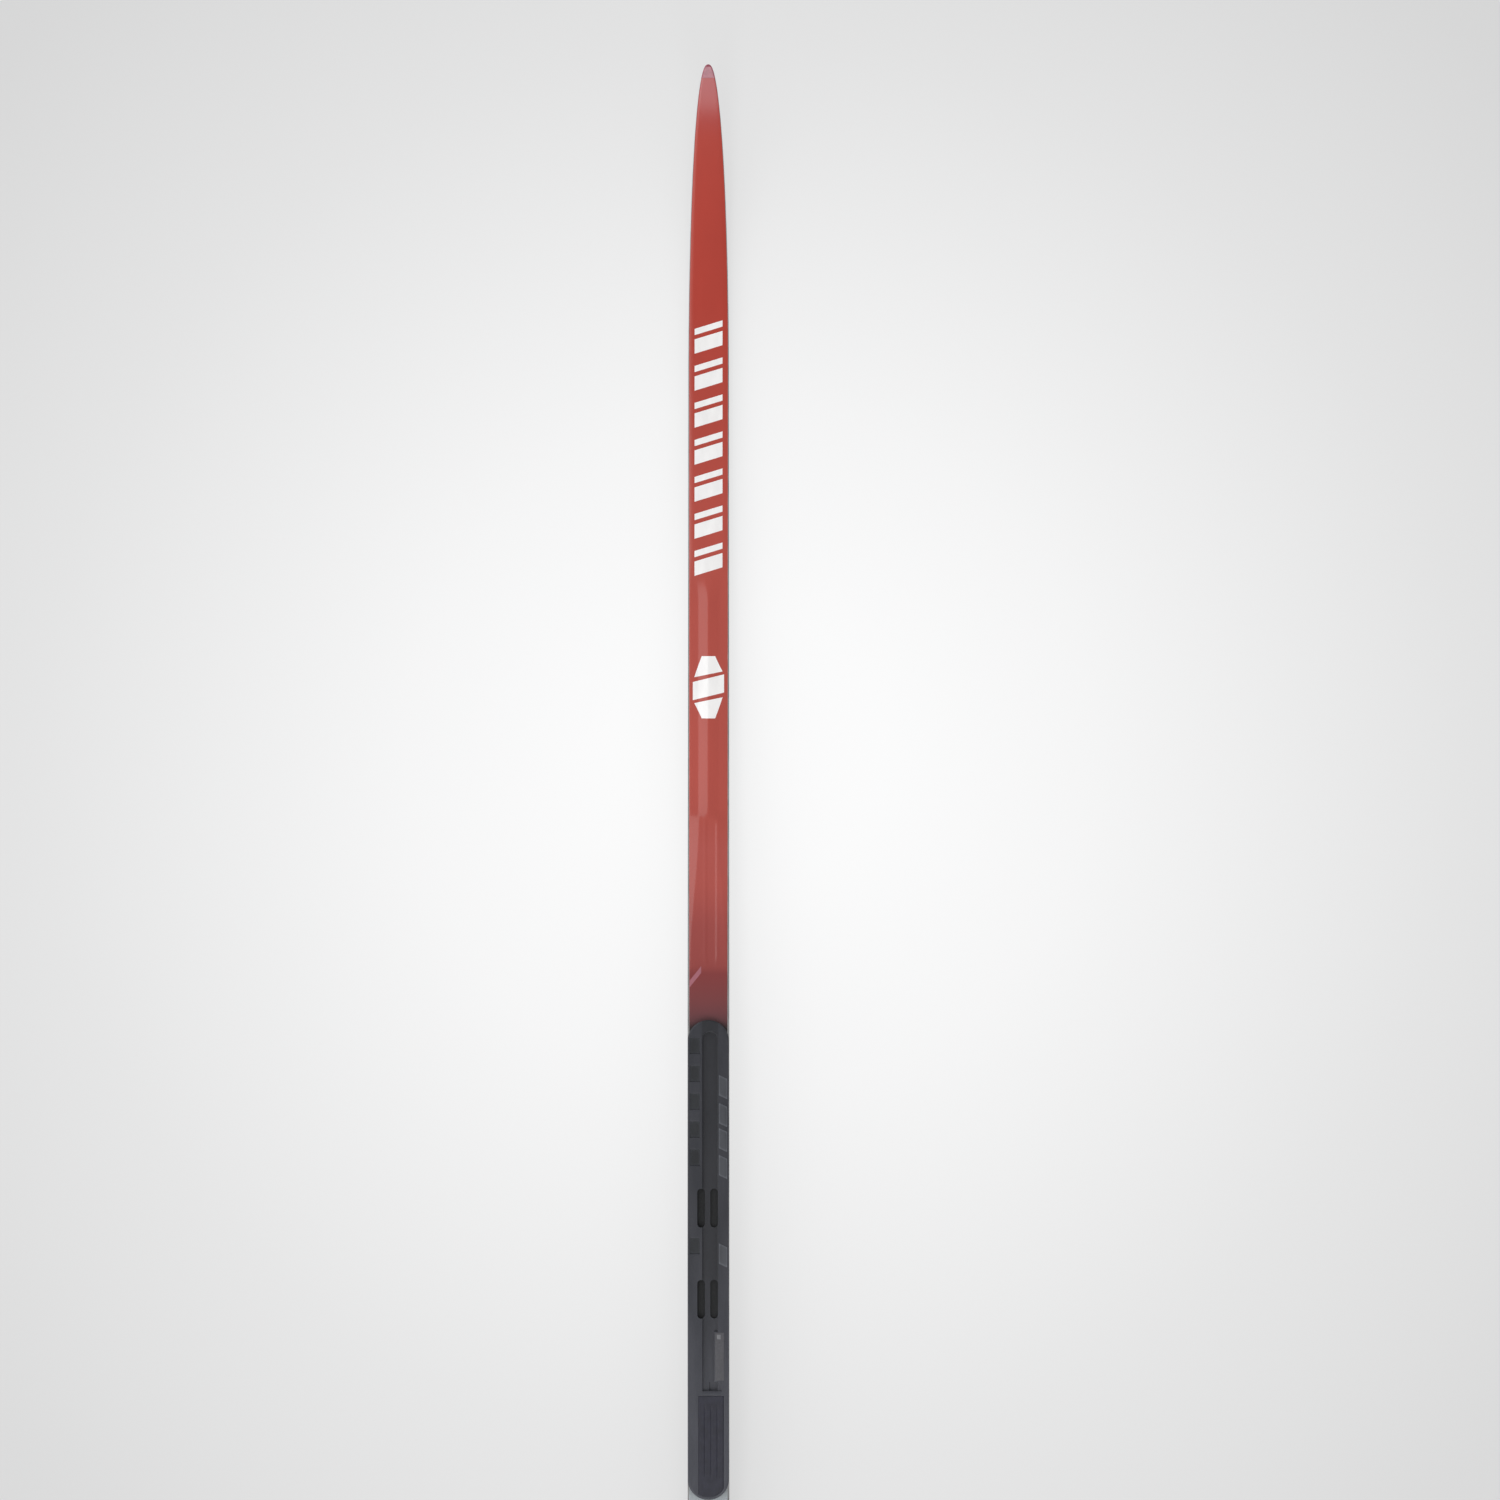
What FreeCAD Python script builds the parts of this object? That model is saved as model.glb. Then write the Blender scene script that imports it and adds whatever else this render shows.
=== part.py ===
import FreeCAD, Part
import os

# A classic cross country ski, tip towards +X, left side +Y, top sheet up, at rest on its base.
# The origin is at half its length, on the surface that the ski lies on.
# Every long piece has a polygon for its section, whose corners run along the ski as smooth
# curves. Pieces that touch share the same curves, so they meet face to face. Sizes in mm.

# ---------------------------------------------------------------- the whole ski
LENGTH = 2086.0                 # straight from tail to tip, for a nominal 2100 along the base
TIP_X = LENGTH / 2
TAIL_X = -LENGTH / 2

CAMBER = 26.0                   # height of the arch under the binding, unloaded
FRONT_CONTACT = TIP_X - 280.0   # where the base meets the snow behind the shovel
REAR_CONTACT = TAIL_X + 110.0   # and in front of the tail
TIP_RISE = 62.0
TIP_CURVE = 2.2                 # how late the shovel turns up
TAIL_RISE = 9.0

WAIST_WIDTH = 43.6              # widest, under the binding plate
FRONT_WIDTH = 42.2              # at the end of the shovel
REAR_WIDTH = 43.0
SHOVEL_LENGTH = 320.0           # the tip's outline narrows over this length
TAIL_TAPER = 46.0
OUTLINE_POWER = 0.43            # 0.5 is an ellipse, less is blunter

THICK_WAIST = 27.0
THICK_TIP = 7.0
THICK_TAIL = 8.0
THICK_POWER = 1.3
SIDE_LEAN = 0.075               # the side walls lean in by this much per mm of height

# ---------------------------------------------------------------- the layers
BASE_T = 1.2
LOWER_LAMINATE_T = 0.6
UPPER_LAMINATE_T = 0.6
TOPSHEET_T = 0.6
REINFORCEMENT_T = 0.8
SIDEWALL_WIDTH = 1.2
GROOVE_WIDTH = 8.0
GROOVE_DEPTH = 0.8
GROOVE_FRONT = FRONT_CONTACT - 60.0
GROOVE_REAR = REAR_CONTACT + 20.0
GROOVE_FADE = 90.0
GROOVE_FLARE = 1.0              # the groove's cutter widens by this much below the base

TIP_GUARD_LENGTH = 14.0
TAIL_GUARD_LENGTH = 12.0
TIP_FILLER_LENGTH = 230.0       # the core and the side walls end where the shovel starts to rise
TAIL_FILLER_LENGTH = 130.0
GUARD_ROUND = 1.0
GUARD_OUTLINE_POINTS = 12       # along each side of a guard's round end
GUARD_SIDE_POINTS = 4           # along a guard's profile

# ---------------------------------------------------------------- the binding plate
PLATE_FRONT = 50.0
PLATE_LENGTH = 500.0
PLATE_REAR = PLATE_FRONT - PLATE_LENGTH
PLATE_HALF = 21.4
BOND_T = 0.5
BOND_INSET = 2.4
PLATE_WEB = 1.8                 # plate thickness under the channel
PLATE_HEIGHT = 4.6              # at the top of its rails
LIP_BOTTOM = 1.7                # the rails overhang above this height, for the binding's claws
LIP_OVERHANG = 1.5
LIP_BEVEL = 0.9
LIP_SLOPE = 0.5                 # rise of the overhang's slanted underside
CHANNEL_LEFT = 6.0              # the channel lies a little right of the middle
CHANNEL_RIGHT = -9.9
CHANNEL_START = 12.0            # these run from the plate's front end
CHANNEL_END = 386.0
NOTCH_START = 18.0
NOTCH_LENGTH = 17.0
NOTCH_PITCH = 29.0
NOTCH_DEPTH = 1.1
NOTCH_COUNT = 5
NOTCH_GAP_START = 226.0         # one more notch between the two pairs of slots
NOTCH_INNER_MARGIN = 2.6        # rail left between a notch and the channel
NOTCH_OUTER_MARGIN = 2.2        # and between a notch and the plate's edge
SLOT_WIDTH = 7.9
SLOT_LENGTH = 40.5
SLOT_STARTS = (175.0, 270.0)
SLOT_SIDES = (7.5, -6.1)
LABEL_START = 325.0
LABEL_LENGTH = 50.0
LABEL_T = 0.3
LABEL_SIDES = (-7.2, -16.4)
LABEL_BORDER = 1.0
STEP_START = 377.0
STEP_LENGTH = 9.0
STEP_SIDES = (-1.1, -13.9)
STEP_HEIGHT = 3.2
HEEL_START = 391.0
HEEL_SIDES = (10.2, -16.0)
HEEL_POCKET = 1.6
HEEL_PROUD = 0.5
HEEL_REAR_GAP = 3.0

# ---------------------------------------------------------------- the core
BLOCK_FRONT = PLATE_FRONT + 20.0
BLOCK_REAR = PLATE_REAR - 20.0
CHANNELS = (-0.5, 0.5)          # two air channels in each light core, as parts of its half width
CHANNEL_BORE = 0.34             # their width, again as a part of the half width
CHANNEL_HEIGHT = 0.55           # their height, as a part of the core's
CHANNEL_CLEAR = 40.0            # they stop this far from each end of the core

CORE_FRONT_END = TIP_X - TIP_GUARD_LENGTH - TIP_FILLER_LENGTH
CORE_REAR_END = TAIL_X + TAIL_GUARD_LENGTH + TAIL_FILLER_LENGTH
LAYER_FRONT_END = TIP_X - TIP_GUARD_LENGTH
LAYER_REAR_END = TAIL_X + TAIL_GUARD_LENGTH

# Cutters reach past what they cut by these.
CUT_TOP = 120.0                 # above the whole ski
CUT_BELOW = 50.0                # under the whole ski, and beyond its sides
CUT_MARGIN = 5.0                # above the plate's rails, and under the base

STATION_COUNT = 105
STATIONS = [
    LAYER_REAR_END + (LAYER_FRONT_END - LAYER_REAR_END) * i / (STATION_COUNT - 1)
    for i in range(STATION_COUNT)
]

# ---------------------------------------------------------------- the cap's relief
# Each zone of the top is (crest half width as a part of the ski's half width, and the drop
# below the full thickness at the middle, at the crest line, at the shoulder and at the edge).
FLAT = (0.25, 0.0, 0.0, 0.05, 0.35)
RIDGE = (0.05, 0.0, 0.05, 1.3, 1.6)
CHANNELLED = (0.47, 0.5, 0.0, 0.2, 1.4)
PLATFORM = (0.47, 0.5, 0.0, 0.0, 0.2)
LEVEL = (0.47, 0.0, 0.0, 0.0, 0.0)
SHOULDER_SHARE = 0.54           # the shoulder line's place across the half width
ZONES = [                       # from tail to tip: (start, end of the change to the zone, zone)
    (TAIL_X, TAIL_X, FLAT),
    (-850.0, -790.0, RIDGE),
    (-700.0, -660.0, CHANNELLED),
    (-660.0, -506.0, PLATFORM),
    (-490.0, -458.0, LEVEL),
    (92.0, 126.0, PLATFORM),
    (106.0, 262.0, CHANNELLED),
    (240.0, 280.0, RIDGE),
    (486.0, 530.0, FLAT),
]


def smooth_step(value):
    value = min(1.0, max(0.0, value))
    return value * value * (3 - 2 * value)


def relief(x):
    """The cap's zone values at x, blended where one zone changes to the next."""
    values = ZONES[0][2]
    for start, end, zone in ZONES[1:]:
        share = smooth_step((x - start) / (end - start))
        values = tuple(old + (new - old) * share for old, new in zip(values, zone))
    return values


# ---------------------------------------------------------------- the ski's lines
def base_z(x):
    """Height of the base: camber between the contact points, the shovel and tail beyond them."""
    if x > FRONT_CONTACT:
        return TIP_RISE * ((x - FRONT_CONTACT) / (TIP_X - FRONT_CONTACT)) ** TIP_CURVE
    if x < REAR_CONTACT:
        return TAIL_RISE * ((REAR_CONTACT - x) / (REAR_CONTACT - TAIL_X)) ** 2
    middle = (FRONT_CONTACT + REAR_CONTACT) / 2
    half = (FRONT_CONTACT - REAR_CONTACT) / 2
    return CAMBER * (1 - ((x - middle) / half) ** 2) ** 2


def thickness(x):
    """Full thickness at the crest, from the base's underside to the top of the cap."""
    middle = (PLATE_FRONT + PLATE_REAR) / 2
    reach = TIP_X - middle if x > middle else middle - TAIL_X
    end = THICK_TIP if x > middle else THICK_TAIL
    return end + (THICK_WAIST - end) * (1 - ((x - middle) / reach) ** 2) ** THICK_POWER


def end_taper(distance, taper_length):
    """Share of the width that is left at a distance from the tip or the tail."""
    if distance >= taper_length:
        return 1.0
    return (1 - (1 - max(0.0, distance) / taper_length) ** 2) ** OUTLINE_POWER


def half_width(x):
    middle = (PLATE_FRONT + PLATE_REAR) / 2
    end = FRONT_WIDTH if x > middle else REAR_WIDTH
    reach = TIP_X - middle if x > middle else middle - TAIL_X
    width = WAIST_WIDTH + (end - WAIST_WIDTH) * smooth_step(abs(x - middle) / reach)
    taper = end_taper(TIP_X - x, SHOVEL_LENGTH) * end_taper(x - TAIL_X, TAIL_TAPER)
    return width / 2 * taper


def side_y(x, height):
    """Half width at a height above the base's underside."""
    return half_width(x) - SIDE_LEAN * max(0.0, height - BASE_T - LOWER_LAMINATE_T)


def cap_line(x, depth, side_limit=None):
    """Points (y, z) across the cap from the left edge to the right, at a depth below its face.

    With a side limit the line stops there, on the slope between shoulder and edge.
    """
    crest_share, middle_drop, crest_drop, shoulder_drop, edge_drop = relief(x)
    full = thickness(x) - depth
    edge = side_y(x, full - edge_drop)
    shoulder = SHOULDER_SHARE * half_width(x)
    crest = crest_share * half_width(x)
    edge_height = full - edge_drop
    shoulder_height = full - shoulder_drop
    if side_limit is not None:
        share = (side_limit - shoulder) / (edge - shoulder)
        edge_height = shoulder_height + (edge_height - shoulder_height) * share
        edge = side_limit
    half = [(edge, edge_height), (shoulder, shoulder_height), (crest, full - crest_drop)]
    line = half + [(0.0, full - middle_drop)] + [(-y, height) for y, height in reversed(half)]
    return [(y, base_z(x) + height) for y, height in line]


def flat_line(x, height, half):
    """The left and right ends of a level line across the section."""
    return [(half, base_z(x) + height), (-half, base_z(x) + height)]


def inner_low(x):
    """Half width between the side walls' inner faces, at their feet."""
    return half_width(x) - SIDEWALL_WIDTH


def inner_top(x):
    """Half width between the side walls' inner faces, under the cap."""
    return cap_line(x, CORE_COVER)[0][0] - SIDEWALL_WIDTH


CORE_BOTTOM = BASE_T + LOWER_LAMINATE_T
CORE_COVER = TOPSHEET_T + UPPER_LAMINATE_T


# ---------------------------------------------------------------- making solids
def along(point_at, x_start, x_end):
    """The curve that one corner of a section draws along the ski. Its parameter is X."""
    points = [FreeCAD.Vector(x, *point_at(x)) for x in STATIONS]
    curve = Part.BSplineCurve()
    curve.interpolate(Points=points, Parameters=STATIONS)
    curve.segment(x_start, x_end)
    return curve.toShape()


def long_solid(section, x_start, x_end):
    """A solid between two planes across the ski, whose section at x is the polygon section(x)."""
    corners = range(len(section(x_start)))
    edges = [along(lambda x, i=i: section(x)[i], x_start, x_end) for i in corners]
    faces = [Part.makeRuledSurface(edges[i - 1], edges[i]) for i in corners]
    for x in (x_start, x_end):
        points = [edge.Curve.value(x) for edge in edges]
        faces.append(Part.Face(Part.makePolygon(points + points[:1])))
    shell = Part.Shell(faces)
    shell.sewShape()
    solid = Part.Solid(shell)
    if solid.Volume < 0:
        solid.reverse()
    return solid


def one_solid(shape):
    """The single solid that a boolean leaves."""
    if len(shape.Solids) != 1:
        raise ValueError("a piece fell apart into %d solids" % len(shape.Solids))
    return shape.Solids[0]


def box(x_start, x_end, y_low, y_high, z_low, z_high):
    corner = FreeCAD.Vector(x_start, y_low, z_low)
    return Part.makeBox(x_end - x_start, y_high - y_low, z_high - z_low, corner)


def capsule(x_start, x_end, y_middle, half, z_low, z_high):
    """An upright prism with two round ends."""
    left = FreeCAD.Vector(0, half, 0)
    rear = FreeCAD.Vector(x_start + half, y_middle, z_low)
    front = FreeCAD.Vector(x_end - half, y_middle, z_low)
    nose = front + FreeCAD.Vector(half, 0, 0)
    heel = rear - FreeCAD.Vector(half, 0, 0)
    outline = Part.Wire([
        Part.LineSegment(rear + left, front + left).toShape(),
        Part.Arc(front + left, nose, front - left).toShape(),
        Part.LineSegment(front - left, rear - left).toShape(),
        Part.Arc(rear - left, heel, rear + left).toShape(),
    ])
    return Part.Face(outline).extrude(FreeCAD.Vector(0, 0, z_high - z_low))


# ---------------------------------------------------------------- base, laminates, topsheet
def running_base():
    """The sintered running base with its guide groove."""
    sheet = long_solid(
        lambda x: flat_line(x, 0.0, half_width(x)) + flat_line(x, BASE_T, half_width(x))[::-1],
        LAYER_REAR_END, LAYER_FRONT_END)
    return one_solid(sheet.cut(guide_groove()))


def groove_depth(x):
    """The groove rises out of the base over a fade at each end."""
    inside = min(x - GROOVE_REAR, GROOVE_FRONT - x) / GROOVE_FADE
    return GROOVE_DEPTH * (2 * smooth_step(inside + 0.5) - 1)


def guide_groove():
    """The cutter for the groove, which widens under the base."""
    def section(x):
        depth = groove_depth(x)
        return (flat_line(x, -CUT_MARGIN, GROOVE_WIDTH / 2 + GROOVE_FLARE)
                + flat_line(x, 0.0, GROOVE_WIDTH / 2)[::-1][:1]
                + flat_line(x, depth, GROOVE_WIDTH / 4)[::-1]
                + flat_line(x, 0.0, GROOVE_WIDTH / 2)[:1])

    return long_solid(section, GROOVE_REAR, GROOVE_FRONT)


def lower_laminate():
    return long_solid(
        lambda x: flat_line(x, BASE_T, half_width(x)) + flat_line(x, CORE_BOTTOM, half_width(x))[::-1],
        LAYER_REAR_END, LAYER_FRONT_END)


def cap_layer(top_depth, thickness_down):
    """A sheet that follows the cap's relief."""
    return long_solid(
        lambda x: cap_line(x, top_depth) + cap_line(x, top_depth + thickness_down)[::-1],
        LAYER_REAR_END, LAYER_FRONT_END)


def topsheet():
    return cap_layer(0.0, TOPSHEET_T)


def upper_laminate():
    return cap_layer(TOPSHEET_T, UPPER_LAMINATE_T)


# ---------------------------------------------------------------- sides and core
def sidewall(side):
    """A side wall, from the lower laminate up to the upper one. side is 1 for left."""
    def section(x):
        outer_foot = flat_line(x, CORE_BOTTOM, half_width(x))[0]
        outer_head = cap_line(x, CORE_COVER)[0]
        inner_head = cap_line(x, CORE_COVER, inner_top(x))[0]
        inner_foot = flat_line(x, CORE_BOTTOM, inner_low(x))[0]
        return [(side * y, z) for y, z in (outer_foot, outer_head, inner_head, inner_foot)]

    return long_solid(section, CORE_REAR_END, CORE_FRONT_END)


def stringer(side):
    """The wooden strip between a side wall and the core."""
    def section(x):
        outer_foot = flat_line(x, CORE_BOTTOM, inner_low(x))[0]
        outer_head = cap_line(x, CORE_COVER, inner_top(x))[0]
        inner_head = cap_line(x, CORE_COVER)[1]
        inner_foot = flat_line(x, CORE_BOTTOM, SHOULDER_SHARE * half_width(x))[0]
        return [(side * y, z) for y, z in (outer_foot, outer_head, inner_head, inner_foot)]

    return long_solid(section, CORE_REAR_END, CORE_FRONT_END)


def core_section(x, cover):
    """The core's polygon, between the stringers, under a cover of some thickness."""
    shoulder = SHOULDER_SHARE * half_width(x)
    return cap_line(x, cover)[1:-1] + flat_line(x, CORE_BOTTOM, shoulder)[::-1]


def air_channel(offset, x_start, x_end):
    """One long hollow that lightens a core."""
    def section(x):
        half = SHOULDER_SHARE * half_width(x)
        height = thickness(x) - CORE_COVER - CORE_BOTTOM
        low = base_z(x) + CORE_BOTTOM + height * (1 - CHANNEL_HEIGHT) / 2
        high = low + height * CHANNEL_HEIGHT
        left = half * (offset + CHANNEL_BORE)
        right = half * (offset - CHANNEL_BORE)
        return [(left, low), (left, high), (right, high), (right, low)]

    return long_solid(section, x_start, x_end)


def light_core(x_start, x_end):
    """A core with its air channels cut out."""
    core = long_solid(lambda x: core_section(x, CORE_COVER), x_start, x_end)
    for offset in CHANNELS:
        core = core.cut(air_channel(offset, x_start + CHANNEL_CLEAR, x_end - CHANNEL_CLEAR))
    return one_solid(core)


def binding_block():
    """The dense part of the core that carries the binding plate."""
    return long_solid(lambda x: core_section(x, CORE_COVER + REINFORCEMENT_T), BLOCK_REAR, BLOCK_FRONT)


def binding_reinforcement():
    """A stiff sheet between the block and the upper laminate."""
    def section(x):
        return (cap_line(x, CORE_COVER)[1:-1]
                + cap_line(x, CORE_COVER + REINFORCEMENT_T)[1:-1][::-1])

    return long_solid(section, BLOCK_REAR, BLOCK_FRONT)


def end_filler(x_start, x_end):
    """The plastic spacer that fills the ski beyond its core."""
    return long_solid(
        lambda x: cap_line(x, CORE_COVER) + flat_line(x, CORE_BOTTOM, half_width(x))[::-1],
        x_start, x_end)


# ---------------------------------------------------------------- tip and tail guards
def end_guard(end_x, length, inward):
    """A moulded end piece. inward is -1 at the tip and 1 at the tail."""
    steps = GUARD_OUTLINE_POINTS
    xs = [end_x + inward * length * (i / steps) ** 2 for i in range(steps + 1)]
    left = [FreeCAD.Vector(x, half_width(x), -CUT_BELOW) for x in xs]
    right = [FreeCAD.Vector(point.x, -point.y, point.z) for point in left[1:]]
    curve = Part.BSplineCurve()
    curve.interpolate(Points=right[::-1] + left)
    back = Part.LineSegment(left[-1], right[-1])
    plan = Part.Face(Part.Wire([curve.toShape(), back.toShape()]))
    prism = plan.extrude(FreeCAD.Vector(0, 0, CUT_BELOW + CUT_TOP))

    steps = GUARD_SIDE_POINTS
    xs = [end_x + inward * length * i / steps for i in range(steps + 1)]
    drop = relief(end_x)[-1] / 2
    low = [FreeCAD.Vector(x, -CUT_BELOW, base_z(x)) for x in xs]
    high = [FreeCAD.Vector(x, -CUT_BELOW, base_z(x) + thickness(x) - drop) for x in xs]
    lower, upper = Part.BSplineCurve(), Part.BSplineCurve()
    lower.interpolate(Points=low)
    upper.interpolate(Points=high)
    side = Part.Wire([
        lower.toShape(),
        Part.LineSegment(low[-1], high[-1]).toShape(),
        upper.toShape(),
        Part.LineSegment(high[0], low[0]).toShape(),
    ])
    slab = Part.Face(side).extrude(FreeCAD.Vector(0, 2 * CUT_BELOW, 0))
    guard = one_solid(prism.common(slab))
    joint_x = end_x + inward * length
    rim = [edge for edge in guard.Edges
           if edge.Length > length and abs(edge.CenterOfMass.x - joint_x) > GUARD_ROUND / 10]
    return guard.makeFillet(GUARD_ROUND, rim)


# ---------------------------------------------------------------- binding plate
def plate_x(distance):
    """X at a distance behind the plate's front end."""
    return PLATE_FRONT - distance


def plate_z(x, height):
    """Height above the topsheet's face under the plate's bond."""
    return base_z(x) + thickness(x) + BOND_T + height


def plate_outline(inset):
    return capsule(PLATE_REAR + inset, PLATE_FRONT - inset, 0, PLATE_HALF - inset, 0, CUT_TOP)


def plate_bond():
    """The layer of adhesive foam under the plate."""
    half = PLATE_HALF

    def section(x):
        return [(half, plate_z(x, -BOND_T)), (half, plate_z(x, 0)),
                (-half, plate_z(x, 0)), (-half, plate_z(x, -BOND_T))]

    layer = long_solid(section, PLATE_REAR, PLATE_FRONT)
    return one_solid(layer.common(plate_outline(BOND_INSET)))


def plate_body():
    """The plate before anything is cut from it: a bar with a lip along each side."""
    def section(x):
        root = PLATE_HALF - LIP_OVERHANG
        half = [(root, 0.0), (root, LIP_BOTTOM), (PLATE_HALF, LIP_BOTTOM + LIP_SLOPE),
                (PLATE_HALF, PLATE_HEIGHT - LIP_BEVEL), (PLATE_HALF - LIP_BEVEL, PLATE_HEIGHT)]
        whole = half + [(-y, height) for y, height in reversed(half)]
        return [(y, plate_z(x, height)) for y, height in whole]

    body = long_solid(section, PLATE_REAR, PLATE_FRONT)
    return body.common(plate_outline(0.0))


def plate_cutter(start, end, y_low, y_high, floor):
    """A long cutter that leaves a floor at one height above the plate's underside."""
    above = PLATE_HEIGHT + CUT_MARGIN

    def section(x):
        return [(y_high, plate_z(x, floor)), (y_high, plate_z(x, above)),
                (y_low, plate_z(x, above)), (y_low, plate_z(x, floor))]

    return long_solid(section, plate_x(end), plate_x(start))


def channel_cutter():
    """The middle channel with a half-round front end, leaving the boss that carries the label."""
    half = (CHANNEL_LEFT - CHANNEL_RIGHT) / 2
    middle = (CHANNEL_LEFT + CHANNEL_RIGHT) / 2
    trough = plate_cutter(CHANNEL_START, CHANNEL_END, CHANNEL_RIGHT, CHANNEL_LEFT, PLATE_WEB)
    round_end = capsule(plate_x(CHANNEL_END) - 2 * half, plate_x(CHANNEL_START),
                        middle, half, 0, CUT_TOP)
    boss = box(plate_x(LABEL_START + LABEL_LENGTH + LABEL_BORDER), plate_x(LABEL_START - LABEL_BORDER),
               CHANNEL_RIGHT - LABEL_BORDER, LABEL_SIDES[0] + LABEL_BORDER, 0, CUT_TOP)
    return trough.common(round_end).cut(boss)


def notch_cutters():
    """Shallow pockets along the left rail."""
    starts = [NOTCH_START + NOTCH_PITCH * i for i in range(NOTCH_COUNT)] + [NOTCH_GAP_START]
    floor = PLATE_HEIGHT - NOTCH_DEPTH
    inner = CHANNEL_LEFT + NOTCH_INNER_MARGIN
    outer = PLATE_HALF - NOTCH_OUTER_MARGIN
    return [plate_cutter(start, start + NOTCH_LENGTH, inner, outer, floor) for start in starts]


def slot_cutters():
    """Two pairs of long slots right through the plate."""
    return [capsule(plate_x(start + SLOT_LENGTH), plate_x(start), side, SLOT_WIDTH / 2, 0, CUT_TOP)
            for start in SLOT_STARTS for side in SLOT_SIDES]


def heel_outline():
    """Plan of the heel pad: square at the front, round at the rear like the plate."""
    strip = box(PLATE_REAR, plate_x(HEEL_START), HEEL_SIDES[1], HEEL_SIDES[0], 0, CUT_TOP)
    return strip.common(plate_outline(HEEL_REAR_GAP))


def heel_slab(low, high):
    """A straight wedge of the heel's length between two heights above the plate's underside."""
    corners = [(x, height) for height in (low, high) for x in (plate_x(HEEL_START), PLATE_REAR)]
    points = [FreeCAD.Vector(x, -CUT_BELOW, plate_z(x, height)) for x, height in corners]
    order = [points[0], points[1], points[3], points[2], points[0]]
    return Part.Face(Part.makePolygon(order)).extrude(FreeCAD.Vector(0, 2 * CUT_BELOW, 0))


def heel_pad():
    """The pad that the heel of the binding stands on. Its top is one flat face."""
    low = PLATE_HEIGHT - HEEL_POCKET
    return one_solid(heel_outline().common(heel_slab(low, PLATE_HEIGHT + HEEL_PROUD)))


def heel_pocket():
    return heel_outline().common(heel_slab(PLATE_HEIGHT - HEEL_POCKET, PLATE_HEIGHT + CUT_MARGIN))


def binding_plate():
    plate = plate_body().cut(channel_cutter())
    for cutter in notch_cutters() + slot_cutters():
        plate = plate.cut(cutter)
    plate = plate.cut(plate_cutter(STEP_START, STEP_START + STEP_LENGTH,
                                   STEP_SIDES[1], STEP_SIDES[0], STEP_HEIGHT))
    return one_solid(plate.cut(heel_pocket()))


def plate_label():
    """A thin blank label on the boss beside the channel."""
    def section(x):
        left, right = LABEL_SIDES
        return [(left, plate_z(x, PLATE_HEIGHT)), (left, plate_z(x, PLATE_HEIGHT + LABEL_T)),
                (right, plate_z(x, PLATE_HEIGHT + LABEL_T)), (right, plate_z(x, PLATE_HEIGHT))]

    return long_solid(section, plate_x(LABEL_START + LABEL_LENGTH), plate_x(LABEL_START))


PIECES = {
    "running_base": running_base,
    "lower_laminate": lower_laminate,
    "upper_laminate": upper_laminate,
    "topsheet": topsheet,
    "sidewall_left": lambda: sidewall(1),
    "sidewall_right": lambda: sidewall(-1),
    "stringer_left": lambda: stringer(1),
    "stringer_right": lambda: stringer(-1),
    "core_front": lambda: light_core(BLOCK_FRONT, CORE_FRONT_END),
    "core_rear": lambda: light_core(CORE_REAR_END, BLOCK_REAR),
    "binding_block": binding_block,
    "binding_reinforcement": binding_reinforcement,
    "tip_filler": lambda: end_filler(CORE_FRONT_END, LAYER_FRONT_END),
    "tail_filler": lambda: end_filler(LAYER_REAR_END, CORE_REAR_END),
    "tip_guard": lambda: end_guard(TIP_X, TIP_GUARD_LENGTH, -1),
    "tail_guard": lambda: end_guard(TAIL_X, TAIL_GUARD_LENGTH, 1),
    "plate_bond": plate_bond,
    "binding_plate": binding_plate,
    "heel_pad": heel_pad,
    "plate_label": plate_label,
}


def main():
    os.makedirs("parts", exist_ok=True)
    for name, make in PIECES.items():
        piece = make()
        if not piece.isValid() or not piece.isClosed():
            raise ValueError(name + " is not a valid closed solid")
        piece.exportStep("parts/" + name + ".step")
        bounds = piece.BoundBox
        print("%-22s %9.0f mm3  x %8.1f %8.1f  y %6.1f %6.1f  z %6.1f %6.1f" % (
            name, piece.Volume, bounds.XMin, bounds.XMax,
            bounds.YMin, bounds.YMax, bounds.ZMin, bounds.ZMax))


main()
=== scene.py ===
import math

import bmesh
import bpy
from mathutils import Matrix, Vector


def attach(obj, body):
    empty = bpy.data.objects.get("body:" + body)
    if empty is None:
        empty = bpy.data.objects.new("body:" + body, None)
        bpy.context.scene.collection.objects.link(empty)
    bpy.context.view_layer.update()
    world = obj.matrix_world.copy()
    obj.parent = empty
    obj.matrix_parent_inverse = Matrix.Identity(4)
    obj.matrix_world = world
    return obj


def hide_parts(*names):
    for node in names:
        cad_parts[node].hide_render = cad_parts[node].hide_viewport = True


# The looks of a classic cross country ski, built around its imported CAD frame.
# Tip towards +X, left side +Y, top sheet up. The long outer layers are rebuilt here from the same
# lines as in CAD, with finer steps and rounded edges. The sealed inner parts stay CAD nodes.

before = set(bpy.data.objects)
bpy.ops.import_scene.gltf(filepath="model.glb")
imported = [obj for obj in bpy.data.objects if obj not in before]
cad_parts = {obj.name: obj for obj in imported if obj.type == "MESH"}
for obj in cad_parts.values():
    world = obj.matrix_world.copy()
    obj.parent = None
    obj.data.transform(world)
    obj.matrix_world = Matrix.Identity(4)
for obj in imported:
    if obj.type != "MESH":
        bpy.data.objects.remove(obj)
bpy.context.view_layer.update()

MM = 0.001

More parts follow.
